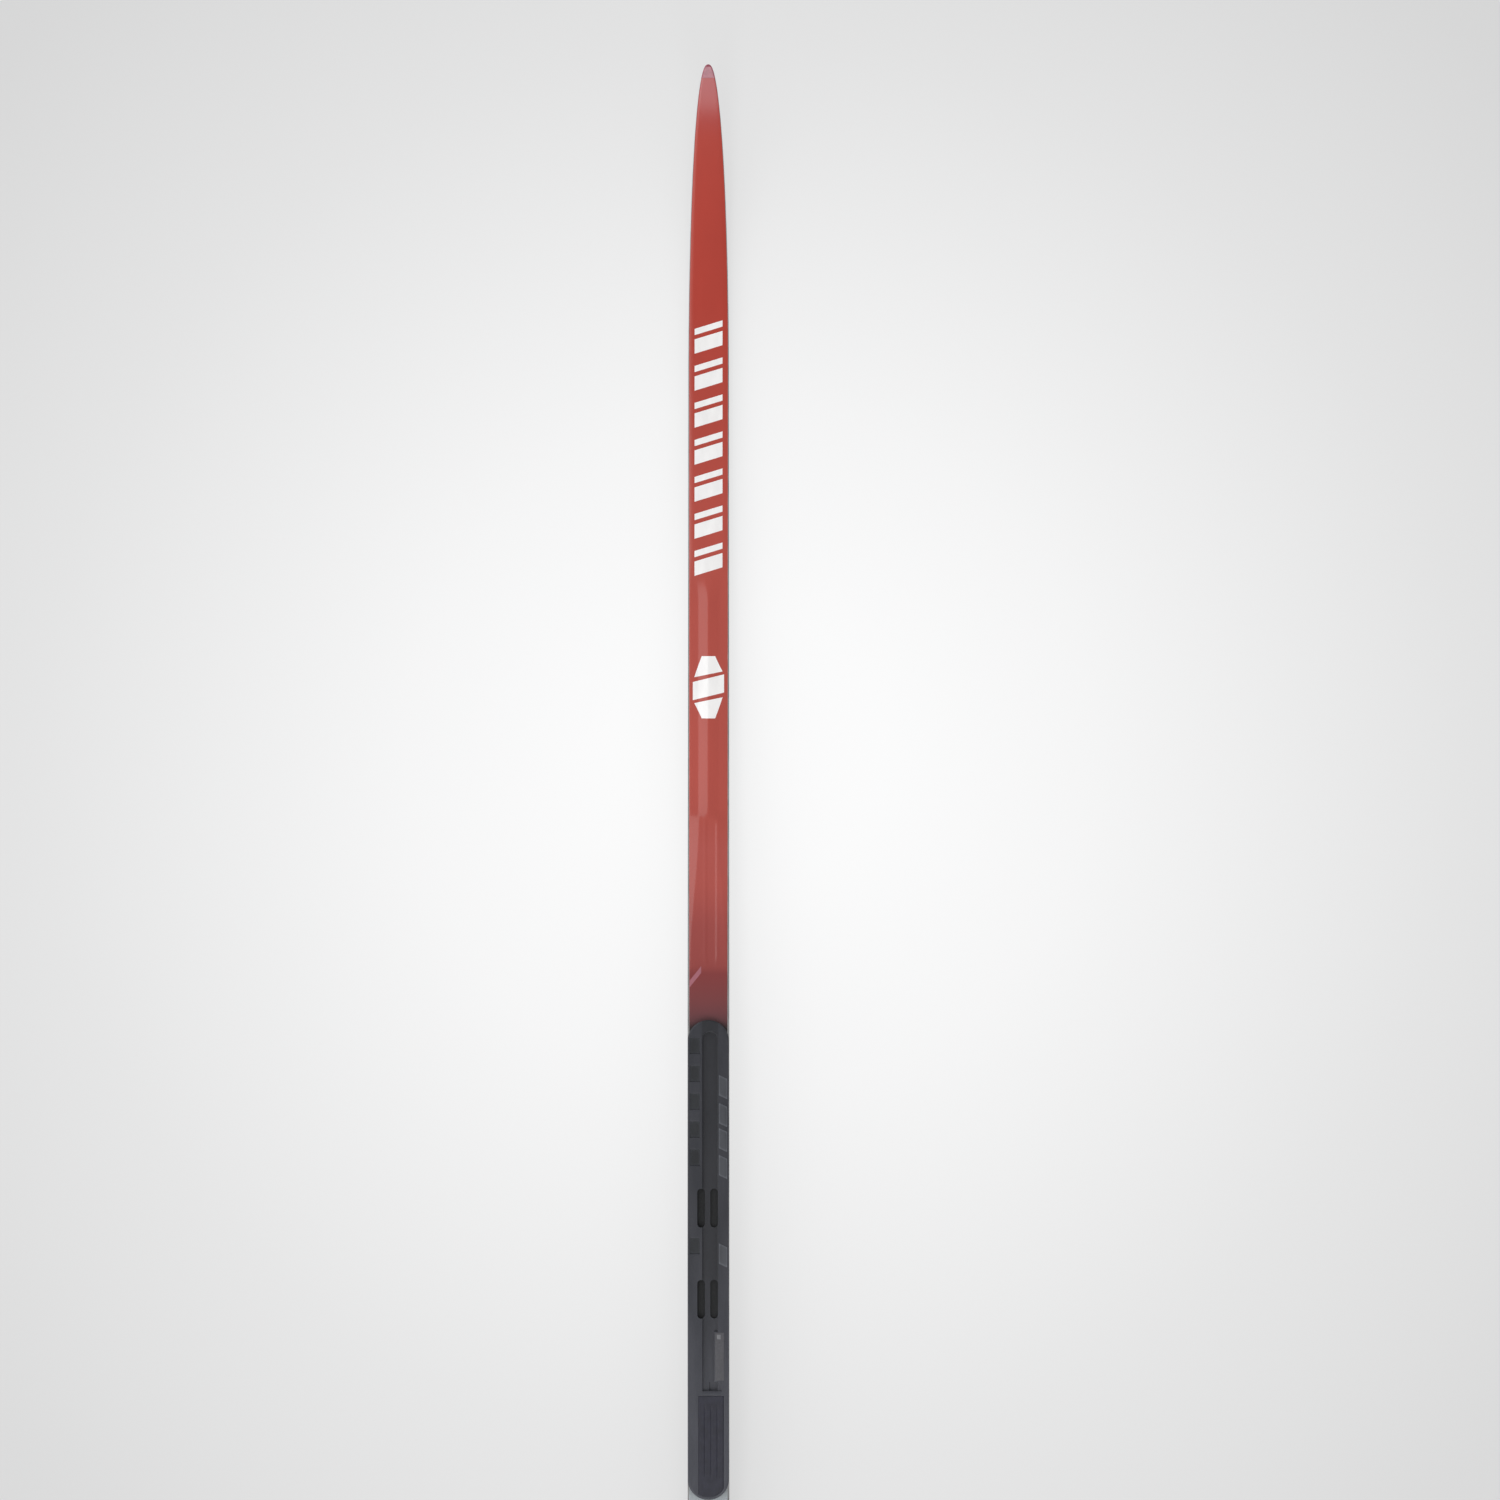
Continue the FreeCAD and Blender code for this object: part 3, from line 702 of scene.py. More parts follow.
def running_base(material):
    def top_line(x):
        return [(y, base_z(x) + BASE_T) for y, _ in base_line(x)]

    layer("running_base", "_sole", "base_sinter", LAYER_STATIONS, top_line, base_line, material)


def sidewall(side, material):
    """A side wall whose foot and head are set back by a hair. side is 1 for left."""
    def faces(x):
        cap = Cap(x)
        head_y = cap.edge
        head_z = cap.z(head_y, CORE_COVER)
        foot_z = base_z(x) + CORE_BOTTOM
        foot_y = half_width(x)
        outer = []
        inner = []
        for i in range(SIDE_ROWS + 1):
            share = i / SIDE_ROWS
            y = foot_y + (head_y - foot_y) * share
            z = foot_z + (head_z - foot_z) * share
            trim = LAYER_STEP * 2 if i in (0, SIDE_ROWS) else 0.0
            outer.append((side * (y - trim), z))
            inner.append((side * (y - SIDEWALL_WIDTH), z))
        return outer, inner

    name = "sidewall_left" if side > 0 else "sidewall_right"
    layer(name, "_strip", "sidewall_plastic", long_stations(CORE_REAR_END, CORE_FRONT_END),
          lambda x: faces(x)[0], lambda x: faces(x)[1], material)


def end_filler(name, start, end, material):
    """The spacer between the core and an end guard."""
    def lower(x):
        shares = [1.0, *spread(CAP_COLUMNS), -1.0]
        return [(share * half_width(x), base_z(x) + CORE_BOTTOM) for share in shares]

    layer(name, "_block", "sidewall_plastic", long_stations(start, end),
          lambda x: plain_cap_line(Cap(x), CORE_COVER), lower, material)


GUARD_NOSE = 3.2 * MM       # a guard is rounded in side view over this length
GUARD_CORNER = 1.6 * MM
GUARD_DROP = 0.3 * MM       # its top lies this much below the cap's
GUARD_FIRST = 0.0004        # its first station, as a share of its length from the end
GUARD_STATIONS = 36
GUARD_COLUMNS = 32


def end_guard(name, end_x, inner_x, material):
    """A moulded end piece, flush with the layers and rounded all round its free edge."""
    shares = [GUARD_FIRST + (1 - GUARD_FIRST) * bend for bend in bends(GUARD_STATIONS)]
    stations = [end_x + (inner_x - end_x) * share for share in shares]

    def section(x):
        half = half_width(x)
        full = thickness(x) - GUARD_DROP
        swell = math.sqrt(1 - (1 - min(1.0, abs(x - end_x) / GUARD_NOSE)) ** 2)
        low = base_z(x) + full / 2 * (1 - swell)
        high = base_z(x) + full - full / 2 * (1 - swell)
        corner = min(GUARD_CORNER, half, (high - low) / 2)
        return half, low, high, corner

    def edge_line(x, top):
        half, low, high, corner = section(x)
        line = []
        for i in range(GUARD_COLUMNS + 1):
            y = half * math.cos(math.pi * i / GUARD_COLUMNS)
            sink = corner_sink(y, half, corner)
            line.append((y, high - sink if top else low + sink))
        return line

    layer(name, "_cap", "guard_plastic", stations,
          lambda x: edge_line(x, True), lambda x: edge_line(x, False), material)


# -------- printed films on the cap, and one rose film that is a painted highlight
FILM_SHARP = 30
FILM_COLUMNS = 34           # across the ski, so that a film follows the cap


def film(name, corner_at, along, across, material):
    """A thin film that lies on the cap. corner_at(u, v) gives its (x, y) for u and v from 0 to 1."""
    points = []
    for level in (PRINT_LIFT, -FILM_SINK):
        for i in range(along + 1):
            for j in range(across + 1):
                x, y = corner_at(i / along, j / across)
                points.append((x, y, Cap(x).z(y) + level))
    piece = finish_mesh(name, points, sheet_faces(along, across), material, FILM_SHARP)
    settle(piece, "topsheet_lacquer")


def slanted_film(name, rear, width, slant, half, along, material):
    """A film across the ski's middle, whose right end lies further forward by slant."""
    film(name, lambda u, v: (rear + slant * v + width * u, half * (1 - 2 * v)),
         along, FILM_COLUMNS, material)


BAR_COUNT = 7
BARS_FRONT = 781 * MM
BARS_REAR = 513 * MM
BARS = {"wide": (0.0, 15 * MM), "thin": (19.5 * MM, 6.5 * MM)}  # start and width
BAR_HALF = 14.6 * MM
BAR_SLANT = 9 * MM


def slanted_bars(material):
    """A row of slanted bars, wide and thin by turns, a plain pattern in place of lettering."""
    pitch = (BARS_FRONT - BARS_REAR - BAR_SLANT - sum(BARS["thin"])) / (BAR_COUNT - 1)
    for number in range(BAR_COUNT):
        for kind, (start, width) in BARS.items():
            slanted_film("print_bar_%s_%d" % (kind, number + 1), BARS_REAR + pitch * number + start,
                         width, BAR_SLANT, BAR_HALF, round(width / MM), material)


MARK_FRONT = 429 * MM
MARK_REAR = 364 * MM
MARK_HALF = 16.3 * MM
MARK_END_HALF = 7 * MM
MARK_SLIT = 4 * MM
MARK_SLANT = 8 * MM
MARK_LEVEL = 0.3            # its middle, this part of its length, has parallel sides


def banded_hexagon(material):
    """A white hexagon, longer than wide, that two slanted slits divide into three bands."""
    middle = (MARK_FRONT + MARK_REAR) / 2
    band = (MARK_FRONT - MARK_REAR - 2 * MARK_SLIT) / 3
    for number in range(3):
        rear = MARK_REAR + (band + MARK_SLIT) * number

        def corner_at(u, v, rear=rear):
            x = rear + band * u
            from_middle = abs(x - middle) / (MARK_FRONT - middle)
            taper = max(0.0, (from_middle - MARK_LEVEL) / (1 - MARK_LEVEL))
            half = MARK_HALF + (MARK_END_HALF - MARK_HALF) * taper
            return x + MARK_SLANT * (v - 0.5) * half / MARK_HALF * (1 - taper), half * (1 - 2 * v)

        film("print_mark_%d" % (number + 1), corner_at, 20, FILM_COLUMNS, material)


FLASH_REAR = 84 * MM
FLASH_WIDTH = 7 * MM
FLASH_SLANT = 15 * MM
FLASH_OUTER = 19.4 * MM
FLASH_LENGTH = 12 * MM


def side_highlight_patch(material):
    """A short slanted rose patch at the left edge, just in front of the plate: a painted highlight where
    the lit left bevel's highlight ends.
    """
    def corner_at(u, v):
        return FLASH_REAR + FLASH_SLANT * v + FLASH_WIDTH * u, FLASH_OUTER - FLASH_LENGTH * v

    film("painted_highlight_patch", corner_at, 10, 20, material)


TAIL_BAR_SLANT = 14 * MM
TAIL_BAR_HALF = 18.5 * MM
SIDE_LINE_REAR = -790 * MM
SIDE_LINE_LENGTH = 330 * MM
SIDE_LINE_WIDTH = 1.2 * MM
SIDE_LINE_SHARE = 0.62      # its place across the half width


def rear_prints(red, dark):
    """Plain accents on the rear half: a slanted pair near the tail and a line down each side."""
    slanted_film("print_tail_wide", -905 * MM, 46 * MM, TAIL_BAR_SLANT, TAIL_BAR_HALF, 12, red)
    slanted_film("print_tail_thin", -845 * MM, 8 * MM, TAIL_BAR_SLANT, TAIL_BAR_HALF, 12, dark)
    for name, side in (("print_line_left", 1), ("print_line_right", -1)):
        def corner_at(u, v, side=side):
            x = SIDE_LINE_REAR + SIDE_LINE_LENGTH * u
            return x, side * (half_width(x) * SIDE_LINE_SHARE - SIDE_LINE_WIDTH * v)

        film(name, corner_at, 90, 2, red)


# -------- the binding plate
WALL = 0.06 * MM            # half the plan width of a moulded wall
SOFT = 0.35 * MM            # its rounded shoulders reach this far
LINE_GAP = 0.04 * MM        # grid lines nearer than this to the last one are left out
END_GAP = 0.01 * MM         # the first and last stations stop this far from a round end
PLATE_COLUMNS = 40
PLATE_BENDS = 30            # stations round a half circle of the plate's outline
CUT_TOP = 120 * MM          # above the whole ski
SLOT_ARC = 16               # sides of a slot's round end


def plate_x(distance):
    return PLATE_FRONT - distance


def plate_z(x, height):
    return base_z(x) + thickness(x) + BOND_T + height


def wall_share(inside):
    """0 well outside a pocket's wall, 1 well inside, with rounded shoulders."""
    knots = [(-SOFT, 0.0), (-WALL, 0.05), (WALL, 0.95), (SOFT, 1.0)]
    if inside <= -SOFT:
        return 0.0
    for (a, low), (b, high) in zip(knots, knots[1:]):
        if inside <= b:
            return low + (high - low) * (inside - a) / (b - a)
    return 1.0


def plate_reach(distance, inset=0.0):
    """The plate's half width at a distance from its front end, moved in by an inset."""
    radius = PLATE_HALF - inset
    from_end = min(distance, PLATE_LENGTH - distance)
    if from_end >= PLATE_HALF:
        return radius
    return math.sqrt(max(0.0, radius ** 2 - (PLATE_HALF - from_end) ** 2))


def pocket(s, y, start, end, left, right):
    """How far a point is inside a four-sided pocket. s is the distance from the plate's front end."""
    return wall_share(min(s - start, end - s)) * wall_share(min(left - y, y - right))


def channel_share(s, y):
    """How far a point is inside the channel, which has a half-round front end."""
    before = max(0.0, CHANNEL_START + CHANNEL_HALF - s)
    inside = CHANNEL_HALF - math.hypot(before, y - CHANNEL_MIDDLE)
    boss = pocket(s, y, LABEL_START - LABEL_BORDER, LABEL_START + LABEL_LENGTH + LABEL_BORDER,
                  LABEL_LEFT + LABEL_BORDER, -PLATE_HALF)
    return wall_share(min(inside, CHANNEL_END - s)) * (1 - boss)


NOTCH_STARTS = [NOTCH_START + NOTCH_PITCH * i for i in range(NOTCH_COUNT)] + [NOTCH_GAP_START]


def plate_top(s, y):
    """Height of the plate's upper face above its underside."""
    height = PLATE_HEIGHT
    height -= (PLATE_HEIGHT - PLATE_WEB) * channel_share(s, y)
    for start in NOTCH_STARTS:
        height -= NOTCH_DEPTH * pocket(s, y, start, start + NOTCH_LENGTH, NOTCH_OUTER, NOTCH_INNER)
    step = pocket(s, y, STEP_START, STEP_START + STEP_LENGTH, STEP_LEFT, STEP_RIGHT)
    height -= (PLATE_HEIGHT - STEP_HEIGHT) * step
    if s > HEEL_START - SOFT:
        edge = plate_reach(s, HEEL_REAR_GAP)
        inside = min(s - HEEL_START, min(HEEL_LEFT, edge) - y, y - max(HEEL_RIGHT, -edge), edge)
        height -= HEEL_POCKET * wall_share(inside)
    from_end = min(s, PLATE_LENGTH - s)
    to_rim = PLATE_HALF - math.hypot(max(0.0, PLATE_HALF - from_end), y)
    return min(height, PLATE_HEIGHT - max(0.0, LIP_BEVEL - to_rim))


def thinned(lines):
    """Grid lines in order, without those that nearly meet the one before."""
    kept = [lines[0]]
    for line in lines[1:]:
        if line - kept[-1] > LINE_GAP:
            kept.append(line)
    return kept


def plate_stations():
    """Stations along the plate, with four at each wall and more of them round each curve."""
    walls = [CHANNEL_END, LABEL_START - LABEL_BORDER, LABEL_START + LABEL_LENGTH + LABEL_BORDER,
             STEP_START, STEP_START + STEP_LENGTH, HEEL_START]
    for start in NOTCH_STARTS:
        walls += [start, start + NOTCH_LENGTH]
    lines = set(steps(0.0, PLATE_LENGTH, 3 * MM))
    for wall in walls:
        lines |= {wall + offset for offset in (-SOFT, -WALL, WALL, SOFT)}
    lines = set(thinned(sorted(lines)))
    for bend in bends(PLATE_BENDS):
        lines.add(PLATE_HALF * bend)
        lines.add(PLATE_LENGTH - PLATE_HALF * bend)
        lines.add(CHANNEL_START + CHANNEL_HALF * bend)
        lines.add(PLATE_LENGTH - HEEL_REAR_GAP - (PLATE_HALF - HEEL_REAR_GAP) * bend)
    lines = [min(max(line, END_GAP), PLATE_LENGTH - END_GAP) for line in sorted(lines)]
    return [plate_x(line) for line in reversed(thinned(lines))]


def plate_columns(s):
    """The plate's grid lines across, at a distance from its front end, left to right."""
    before = max(0.0, CHANNEL_START + CHANNEL_HALF - s)
    half = math.sqrt(max(0.0, CHANNEL_HALF ** 2 - before ** 2))
    heel_edge = plate_reach(s, HEEL_REAR_GAP)
    walls = [NOTCH_OUTER, min(HEEL_LEFT, heel_edge), NOTCH_INNER, CHANNEL_MIDDLE + half, STEP_LEFT,
             LABEL_LEFT + LABEL_BORDER, CHANNEL_MIDDLE - half, STEP_RIGHT, max(HEEL_RIGHT, -heel_edge)]
    columns = []
    for wall in walls:
        columns += [wall + offset for offset in (SOFT, WALL, -WALL, -SOFT)]
    columns += [PLATE_HALF * share for share in spread(PLATE_COLUMNS)]
    columns += [side * (PLATE_HALF - LIP_BEVEL) for side in (1, -1)]
    return sorted(columns, reverse=True)


def plate_upper(x):
    s = PLATE_FRONT - x
    reach = plate_reach(s)
    line = []
    for y in plate_columns(s):
        y = max(-reach, min(reach, y))
        line.append((y, plate_z(x, plate_top(s, y))))
    return line


def plate_lower(x):
    """The underside with the undercut below each rail's lip."""
    s = PLATE_FRONT - x
    reach = plate_reach(s)
    fade = smooth_step(min(s, PLATE_LENGTH - s) / PLATE_HALF)
    root = max(0.0, reach - LIP_OVERHANG * fade)
    columns = plate_columns(s)
    edge_points = [(reach, LIP_BOTTOM + LIP_SLOPE), (root + (reach - root) * 0.1, LIP_BOTTOM),
                   (root, LIP_BOTTOM - 0.1 * MM), (root, 0.0)]
    inner = len(columns) - 2 * len(edge_points)
    line = edge_points + [(root * (1 - 2 * (i + 1) / (inner + 1)), 0.0) for i in range(inner)]
    line += [(-y, height) for y, height in reversed(edge_points)]
    return [(y, plate_z(x, height)) for y, height in line]


def slot_cutter(start, y_middle):
    """An upright prism with round ends."""
    half = SLOT_WIDTH / 2
    outline = []
    for centre, turn in ((plate_x(start) - half, -90), (plate_x(start + SLOT_LENGTH) + half, 90)):
        for i in range(SLOT_ARC + 1):
            angle = math.radians(turn + 180 * i / SLOT_ARC)
            outline.append((centre + half * math.cos(angle), y_middle + half * math.sin(angle)))
    count = len(outline)
    points = [(x, y, z) for z in (0.0, CUT_TOP) for x, y in outline]
    faces = [tuple(range(count))[::-1], tuple(range(count, 2 * count))]
    faces += [(i, (i + 1) % count, count + (i + 1) % count, count + i) for i in range(count)]
    return finish_mesh("slot_cutter", points, faces, None)


def cut_slots(piece):
    for start in SLOT_STARTS:
        for side in SLOT_SIDES:
            cutter = slot_cutter(start, side)
            modifier = piece.modifiers.new("slot", "BOOLEAN")
            modifier.operation = "DIFFERENCE"
            modifier.solver = "EXACT"
            modifier.object = cutter
            bpy.context.view_layer.objects.active = piece
            bpy.ops.object.modifier_apply(modifier=modifier.name)
            bpy.data.objects.remove(cutter)
    piece.data.set_sharp_from_angle(angle=math.radians(SHARP_ANGLE))


def binding_plate(material):
    piece = slab("binding_plate_body", plate_stations(), plate_upper, plate_lower, material)
    cut_slots(piece)
    settle(piece, "plate_plastic", "binding_plate")


BOND_COLUMNS = 16
BOND_BENDS = 16


def plate_bond(material):
    radius = PLATE_HALF - BOND_INSET
    rear = PLATE_REAR + BOND_INSET
    front = PLATE_FRONT - BOND_INSET
    stations = [rear + radius * bend for bend in bends(BOND_BENDS)]
    stations += steps(rear + radius, front - radius, 5 * MM)[1:]
    stations += [front - radius * bend for bend in reversed(bends(BOND_BENDS)[:-1])]
    stations[0] += END_GAP
    stations[-1] -= END_GAP

    def line(x, height):
        half = plate_reach(PLATE_FRONT - x, BOND_INSET)
        return [(half * share, plate_z(x, height)) for share in spread(BOND_COLUMNS)]

    layer("plate_bond", "_sheet", "bond_foam", stations,
          lambda x: line(x, 0.0), lambda x: line(x, -BOND_T), material)


def heel_height(x, height):
    """A straight line along the heel pad between its two ends on the plate."""
    front = plate_x(HEEL_START)
    share = (x - PLATE_REAR) / (front - PLATE_REAR)
    return plate_z(PLATE_REAR, height) + (plate_z(front, height) - plate_z(PLATE_REAR, height)) * share


HEEL_GROOVES = (-9.4 * MM, -2.9 * MM, 3.6 * MM)  # their places across the pad
HEEL_GROOVE_DEPTH = 0.35 * MM
HEEL_GROOVE_HALF = 0.8 * MM
HEEL_GROOVE_FADE = 6 * MM
HEEL_GROOVE_REAR = 20 * MM  # they begin this far from the pad's rear and end this far
HEEL_GROOVE_FRONT = 8 * MM  # from its front
HEEL_CHAMFER = 0.45 * MM
HEEL_PLAY = 0.1 * MM        # between the pad and its pocket's walls
HEEL_LIFT = 0.02 * MM       # and above the pocket's floor
HEEL_COLUMNS = 44
HEEL_BENDS = 20


def heel_pad(material):
    """The heel pad: chamfered, with shallow grip grooves and a plain wedge at its rear."""
    radius = PLATE_HALF - HEEL_REAR_GAP
    rear = PLATE_REAR + HEEL_REAR_GAP
    front = plate_x(HEEL_START) - HEEL_PLAY
    stations = [rear + END_GAP + radius * bend for bend in bends(HEEL_BENDS)]
    stations += steps(rear + radius, front, 3 * MM)[1:-1] + [front - 0.5 * MM, front - 0.2 * MM, front]
    shape = sorted({*spread(HEEL_COLUMNS), 0.975, 0.99, -0.975, -0.99}, reverse=True)

    def ends(x):
        reach = plate_reach(PLATE_FRONT - x, HEEL_REAR_GAP)
        return min(HEEL_LEFT, reach) - HEEL_PLAY, max(HEEL_RIGHT, -reach) + HEEL_PLAY

    def upper(x):
        left, right = ends(x)
        inside = min(x - rear - HEEL_GROOVE_REAR, front - x - HEEL_GROOVE_FRONT)
        depth = HEEL_GROOVE_DEPTH * smooth_step(inside / HEEL_GROOVE_FADE)
        line = []
        for share in shape:
            y = (left + right) / 2 + (left - right) / 2 * share
            chamfer = max(0.0, HEEL_CHAMFER - min(left - y, y - right, front - x))
            from_groove = min(abs(y - groove) for groove in HEEL_GROOVES)
            sunk = depth * max(0.0, 1 - from_groove / HEEL_GROOVE_HALF)
            line.append((y, heel_height(x, PLATE_HEIGHT + HEEL_PROUD - chamfer - sunk)))
        return line

    def lower(x):
        low = PLATE_HEIGHT - HEEL_POCKET + HEEL_LIFT
        return [(y, heel_height(x, low)) for y, _ in upper(x)]

    layer("heel_pad", "_body", "pad_plastic", stations, upper, lower, material)


PATCH_RIM = 0.25 * MM       # width of a patch's chamfered rim
PATCH_SHARP = 50


def on_plate(name, corner_at, along, across, lift, material, slot, level=PLATE_HEIGHT):
    """A thin raised patch on the plate, with chamfered rims. corner_at gives (s, y)."""
    points = []
    for top in (True, False):
        for i in range(along + 1):
            for j in range(across + 1):
                s, y = corner_at(i / along, j / across)
                on_rim = i in (0, along) or j in (0, across)
                rise = (lift * 0.6 if on_rim else lift) if top else -FILM_SINK
                points.append((plate_x(s), y, plate_z(plate_x(s), level) + rise))
    return settle(finish_mesh(name, points, sheet_faces(along, across), material, PATCH_SHARP), slot)


def rimmed(share, size):
    """Moves grid steps from 0 to 1 so that the outermost ones are a patch's narrow rim."""
    inset = PATCH_RIM / size
    if share <= 0 or share >= 1:
        return share
    return inset + (1 - 2 * inset) * share


def label_patch(name, start, length, left, right, lift, material):
    def corner_at(u, v):
        return start + length * rimmed(u, length), left + (right - left) * rimmed(v, left - right)

    return on_plate(name, corner_at, max(6, round(length / (2 * MM))), 10, lift, material, "label_film")


SPOT_NEAR = 1.5 * MM        # the spot's near and far edges, from the label's front left corner
SPOT_FAR = 6 * MM
SPOT_LENGTH = 6 * MM
SPOT_LIFT = 0.06 * MM


def plate_label(film_material, spot_material):
    """A blank label with a plain spot near its front left corner."""
    label = label_patch("plate_label_film", LABEL_START, LABEL_LENGTH, LABEL_LEFT, LABEL_RIGHT,
                        LABEL_T, film_material)
    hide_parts("plate_label")
    label_patch("plate_label_spot", LABEL_START + SPOT_NEAR, SPOT_LENGTH, LABEL_LEFT - SPOT_NEAR,
                LABEL_LEFT - SPOT_FAR, LABEL_T + SPOT_LIFT, spot_material)


PAD_STARTS = (57 * MM, 86 * MM, 112 * MM, 140 * MM, 232 * MM)
PAD_LENGTH = 21 * MM
PAD_WIDTH = 8.6 * MM
PAD_SPAN = 9 * MM           # its width along its slanted ends
PAD_SLANT = 4 * MM
PAD_GAP = 1.2 * MM          # between a block and the channel
PAD_HEIGHT = 0.25 * MM


def rail_pads(material):
    """Low blocks along the right rail, with slanted ends, opposite the notches."""
    for number, start in enumerate(PAD_STARTS):
        def corner_at(u, v, start=start):
            across = rimmed(v, PAD_SPAN)
            s = start + PAD_LENGTH * rimmed(u, PAD_LENGTH) + PAD_SLANT * across
            return s, CHANNEL_RIGHT - PAD_GAP - PAD_WIDTH * across

        on_plate("plate_rail_block_%d" % (number + 1), corner_at, 12, 10, PAD_HEIGHT, material,
                 "plate_plastic")


NOTCH_INSET = 0.5 * MM      # between a notch's wall and the painted shade on its floor
NOTCH_LIFT = 0.04 * MM


def shade_notch_floors(material):
    """A darker patch on the floor of each notch, painted shade in the recess, with a coarser finish."""
    length = NOTCH_LENGTH - 2 * NOTCH_INSET
    width = NOTCH_OUTER - NOTCH_INNER - 2 * NOTCH_INSET
    for number, start in enumerate(NOTCH_STARTS):
        def corner_at(u, v, start=start):
            return start + NOTCH_INSET + length * u, NOTCH_OUTER - NOTCH_INSET - width * v

        on_plate("plate_notch_shade_patch_%d" % (number + 1), corner_at, 8, 6, NOTCH_LIFT, material,
                 "plate_plastic", PLATE_HEIGHT - NOTCH_DEPTH)


# -------- the inner CAD parts
def dress_inner_nodes(laminate):
    """Gives the sealed CAD parts their materials."""
    pale_wood = wood("stringer_wood", (0.56, 0.4, 0.24), (0.4, 0.25, 0.13))
    dense_wood = wood("dense_core", (0.42, 0.27, 0.15), (0.26, 0.15, 0.075))
    light_core = foam("light_core", (0.5, 0.42, 0.2), (0.68, 0.6, 0.36), 1.4)
    looks = {
        "binding_reinforcement": laminate,
        "stringer_left": pale_wood,
        "stringer_right": pale_wood,
        "binding_block": dense_wood,
        "core_front": light_core,
        "core_rear": light_core,
    }
    for node, material in looks.items():
        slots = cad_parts[node].data.materials
        slots.clear()
        slots.append(material)


# -------- stage
VIEW_CENTRE = Vector((0.331, -0.0434, 0.055))
VIEW_WIDTH = 1.56
CAMERA_DISTANCE = 6.0
SENSOR = 36.0


def place_camera():
    """Straight above the ski's front half, with the tip upwards in the picture."""
    data = bpy.data.cameras.new("camera")
    data.sensor_width = SENSOR
    data.lens = SENSOR * CAMERA_DISTANCE / VIEW_WIDTH
    camera = bpy.data.objects.new("camera", data)
    camera.location = VIEW_CENTRE + Vector((0, 0, CAMERA_DISTANCE))
    camera.rotation_euler = (0, 0, -math.pi / 2)
    bpy.context.scene.collection.objects.link(camera)
    bpy.context.scene.camera = camera


FLOOR_HALF = 9.0
FLOOR_GLOW = 0.7            # the share of its brightness that comes from below
FLOOR_PAINT = 0.95          # how much of the rest it sends back
FLOOR_REACH = 1.4           # its painted pool of light runs this far from the middle
FLOOR_LIGHT_POOL = [(0.0, 0.985), (0.11, 0.973), (0.26, 0.922), (0.42, 0.84), (0.535, 0.783), (0.76, 0.7),
               (1.0, 0.65)]


def studio_floor():
    """A pale floor of frosted glass that glows as if lit from below, with a painted pool of light: a
    little darker away from the middle.
    """
    points = [(x * FLOOR_HALF, y * FLOOR_HALF, 0) for x, y in ((-1, -1), (1, -1), (1, 1), (-1, 1))]
    look = Surface("floor_glowing_glass", 0.9, Specular_IOR_Level=0.1, Emission_Strength=FLOOR_GLOW)
    centre = look.add("ShaderNodeMapping", {"Vector": look.place, "Location": -VIEW_CENTRE})
    distance = look.add("ShaderNodeVectorMath", {0: centre.outputs[0]}, operation="LENGTH")
    greys = [(place, (tone, tone, tone)) for place, tone in FLOOR_LIGHT_POOL]
    # the painted pool of light: glow and colour fall away from the middle
    tone = look.ramp(look.remap(distance.outputs["Value"], 0.0, FLOOR_REACH), greys)
    look.feed(look.shader.inputs, "Emission Color", tone)
    unlit = (1 - FLOOR_GLOW) * FLOOR_PAINT
    look.colour(look.mix(1.0, tone, (unlit, unlit, unlit), "MULTIPLY"))
    floor = finish_mesh("floor", points, [(0, 1, 2, 3)], look.material)


def area_light(name, place, target, size_x, size_y, power):
    data = bpy.data.lights.new(name, "AREA")
    data.shape = "RECTANGLE"
    data.size = size_x
    data.size_y = size_y
    data.energy = power
    light = bpy.data.objects.new(name, data)
    light.location = place
    direction = Vector(target) - Vector(place)
    light.rotation_euler = direction.to_track_quat("-Z", "Y").to_euler()
    bpy.context.scene.collection.objects.link(light)


WALL_TONES = [              # (sine of the angle above the horizon, colour)
    (0.03, (0.6, 0.603, 0.606)),
    (0.24, (1.12, 1.125, 1.13)),
    (0.58, (1.12, 1.125, 1.13)),
    (0.86, (0.3, 0.305, 0.31)),
]
LEFT_GAIN = 1.45            # the left wall is brighter than the right one
RIGHT_GAIN = 0.55


def studio_walls():
    """Pale walls all round, dimmer near the floor, under a darker ceiling, all far away."""
    world = bpy.data.worlds.new("studio")
    world.use_nodes = True
    tree = world.node_tree
    link = tree.links.new
    direction = tree.nodes.new("ShaderNodeTexCoord")
    split = tree.nodes.new("ShaderNodeSeparateXYZ")
    tone = tree.nodes.new("ShaderNodeValToRGB")
    fill_ramp(tone.color_ramp, WALL_TONES)
    link(direction.outputs["Generated"], split.inputs[0])
    link(split.outputs["Z"], tone.inputs["Fac"])
    link(tone.outputs["Color"], tree.nodes["Background"].inputs["Color"])
    side = tree.nodes.new("ShaderNodeMapRange")
    for socket, value in (("From Min", -1), ("To Min", RIGHT_GAIN), ("To Max", LEFT_GAIN)):
        side.inputs[socket].default_value = value
    link(split.outputs["Y"], side.inputs["Value"])
    link(side.outputs["Result"], tree.nodes["Background"].inputs["Strength"])
    bpy.context.scene.world = world


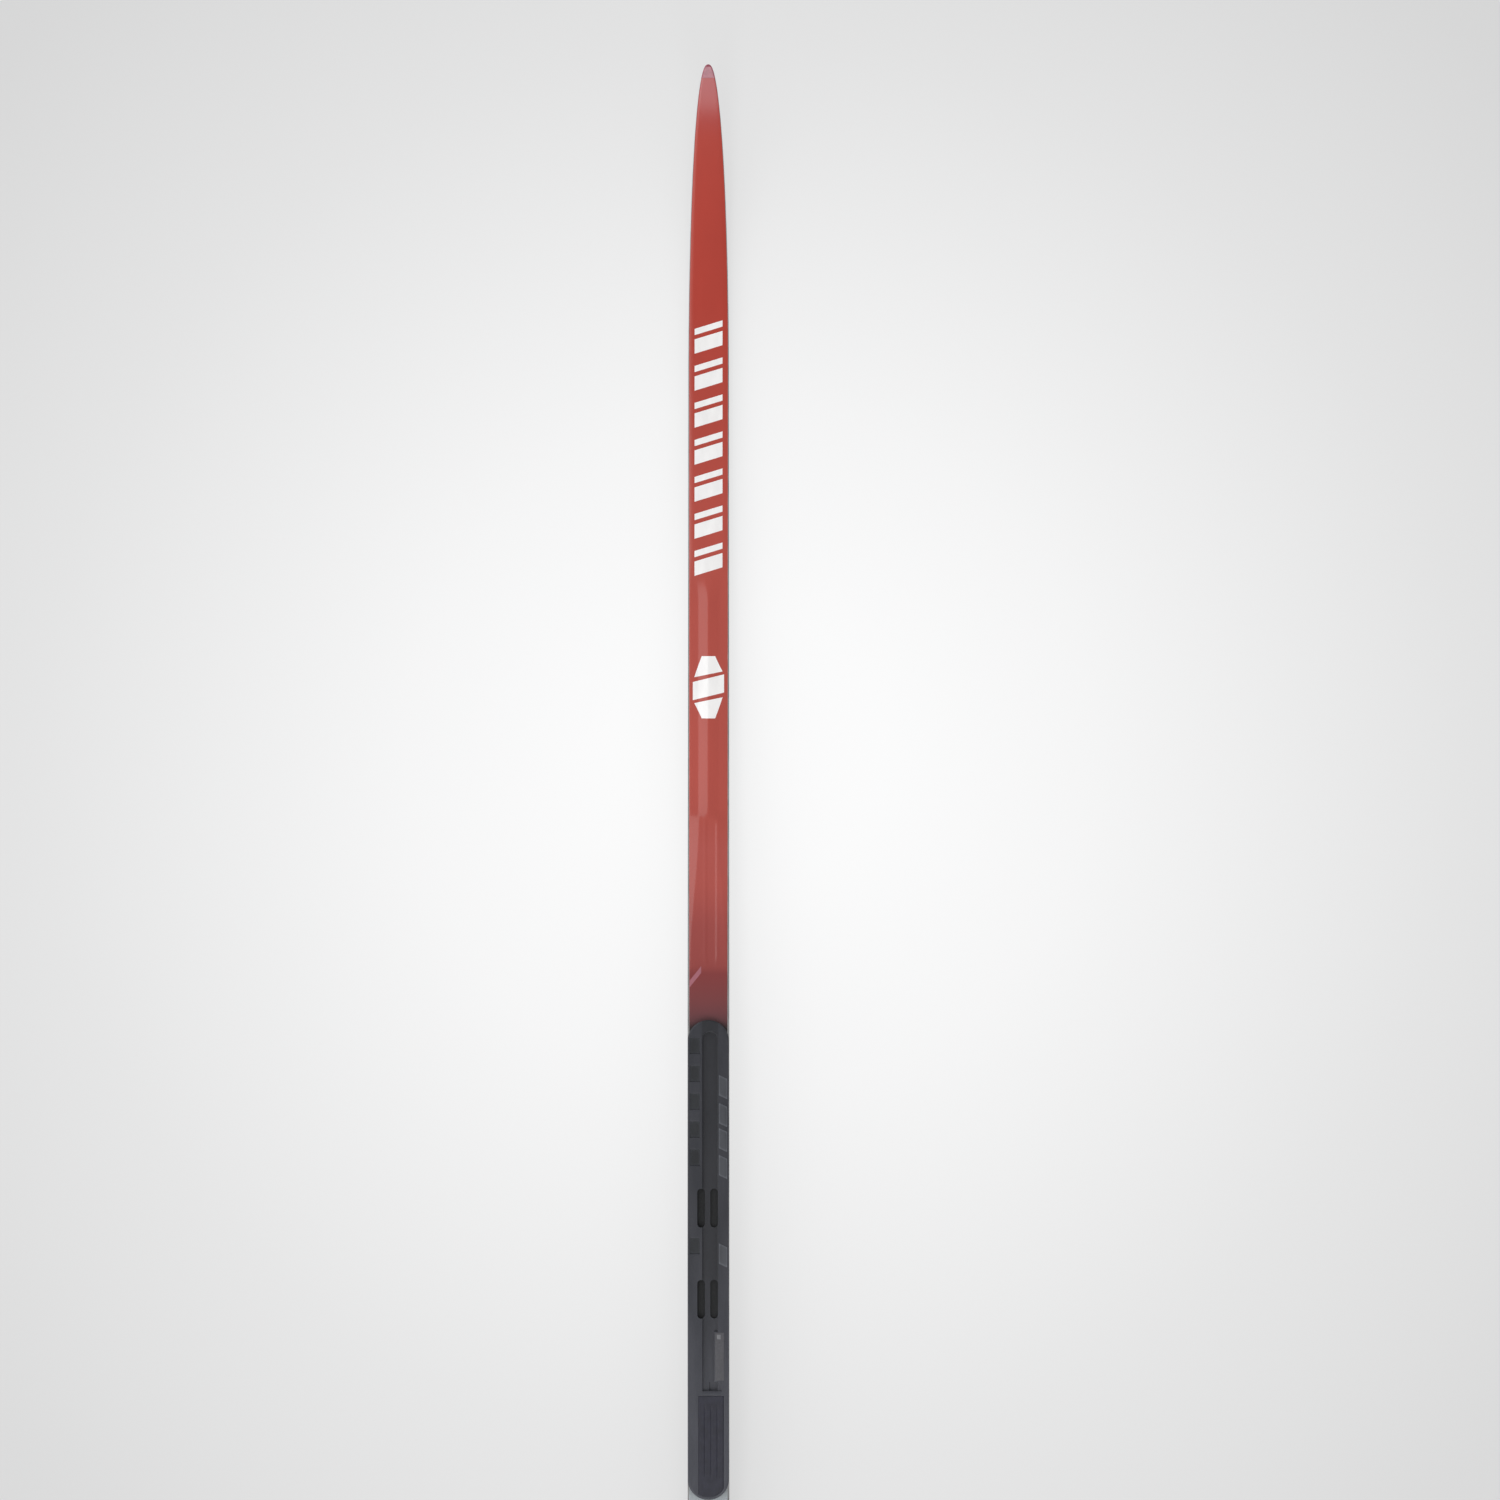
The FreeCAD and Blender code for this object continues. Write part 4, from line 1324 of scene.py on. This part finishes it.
def studio_light():
    studio_walls()
    area_light("key_left", (0.1, 1.02, 3.1), (0.1, 0.0, 0.0), 5.0, 0.9, 17)
    area_light("rear_low", (-2.3, 0.0, 2.85), (1.0, 0.0, 0.0), 3.0, 2.3, 48)
    bpy.context.scene.view_settings.view_transform = "Standard"


# -------- putting it together
def build_ski():
    laminate = fibre_laminate()
    dress_inner_nodes(laminate)
    plastic = sidewall_plastic()
    guard = guard_plastic()
    white = print_and_highlight_film("print_white", (0.93, 0.915, 0.905), (0.87, 0.855, 0.845))
    # a pale rose film for the painted highlight at the end of the left bevel's highlight
    highlight_rose = print_and_highlight_film("painted_highlight_rose", (0.37, 0.12, 0.155), (0.31, 0.095, 0.12), 0.42)
    red = print_and_highlight_film("print_red", (0.4, 0.024, 0.014), (0.35, 0.02, 0.012))
    dark = print_and_highlight_film("print_dark", (0.035, 0.034, 0.036), (0.028, 0.027, 0.029))
    topsheet(lacquer())
    upper_laminate(laminate)
    lower_laminate(laminate)
    running_base(base_sinter())
    for side in (1, -1):
        sidewall(side, plastic)
    end_filler("tip_filler", CORE_FRONT_END, LAYER_FRONT_END, plastic)
    end_filler("tail_filler", LAYER_REAR_END, CORE_REAR_END, plastic)
    end_guard("tip_guard", TIP_X, LAYER_FRONT_END, guard)
    end_guard("tail_guard", TAIL_X, LAYER_REAR_END, guard)
    slanted_bars(white)
    banded_hexagon(white)
    side_highlight_patch(highlight_rose)
    rear_prints(red, dark)


def build_plate():
    binding_plate(plate_plastic("plate_plastic", (0.0122, 0.0128, 0.0168), (0.0185, 0.019, 0.0238)))
    plate_bond(foam("bond_foam", (0.012, 0.0125, 0.013), (0.02, 0.0205, 0.0215), 0.5))
    heel_pad(pad_plastic())
    plate_label(label_film("label_film", (0.05, 0.049, 0.056), (0.062, 0.061, 0.069)),
                label_film("label_spot", (0.13, 0.13, 0.14), (0.17, 0.17, 0.18)))
    rail_pads(plate_plastic("plate_blocks", (0.026, 0.0275, 0.032), (0.037, 0.039, 0.045), 0.44))
    # a darker plastic for the notch floors: painted shade in the recesses
    shade_notch_floors(plate_plastic("plate_notch_shading", (0.0065, 0.007, 0.0085), (0.0105, 0.0115, 0.0135), 0.6))


build_ski()
build_plate()
studio_floor()
studio_light()
place_camera()
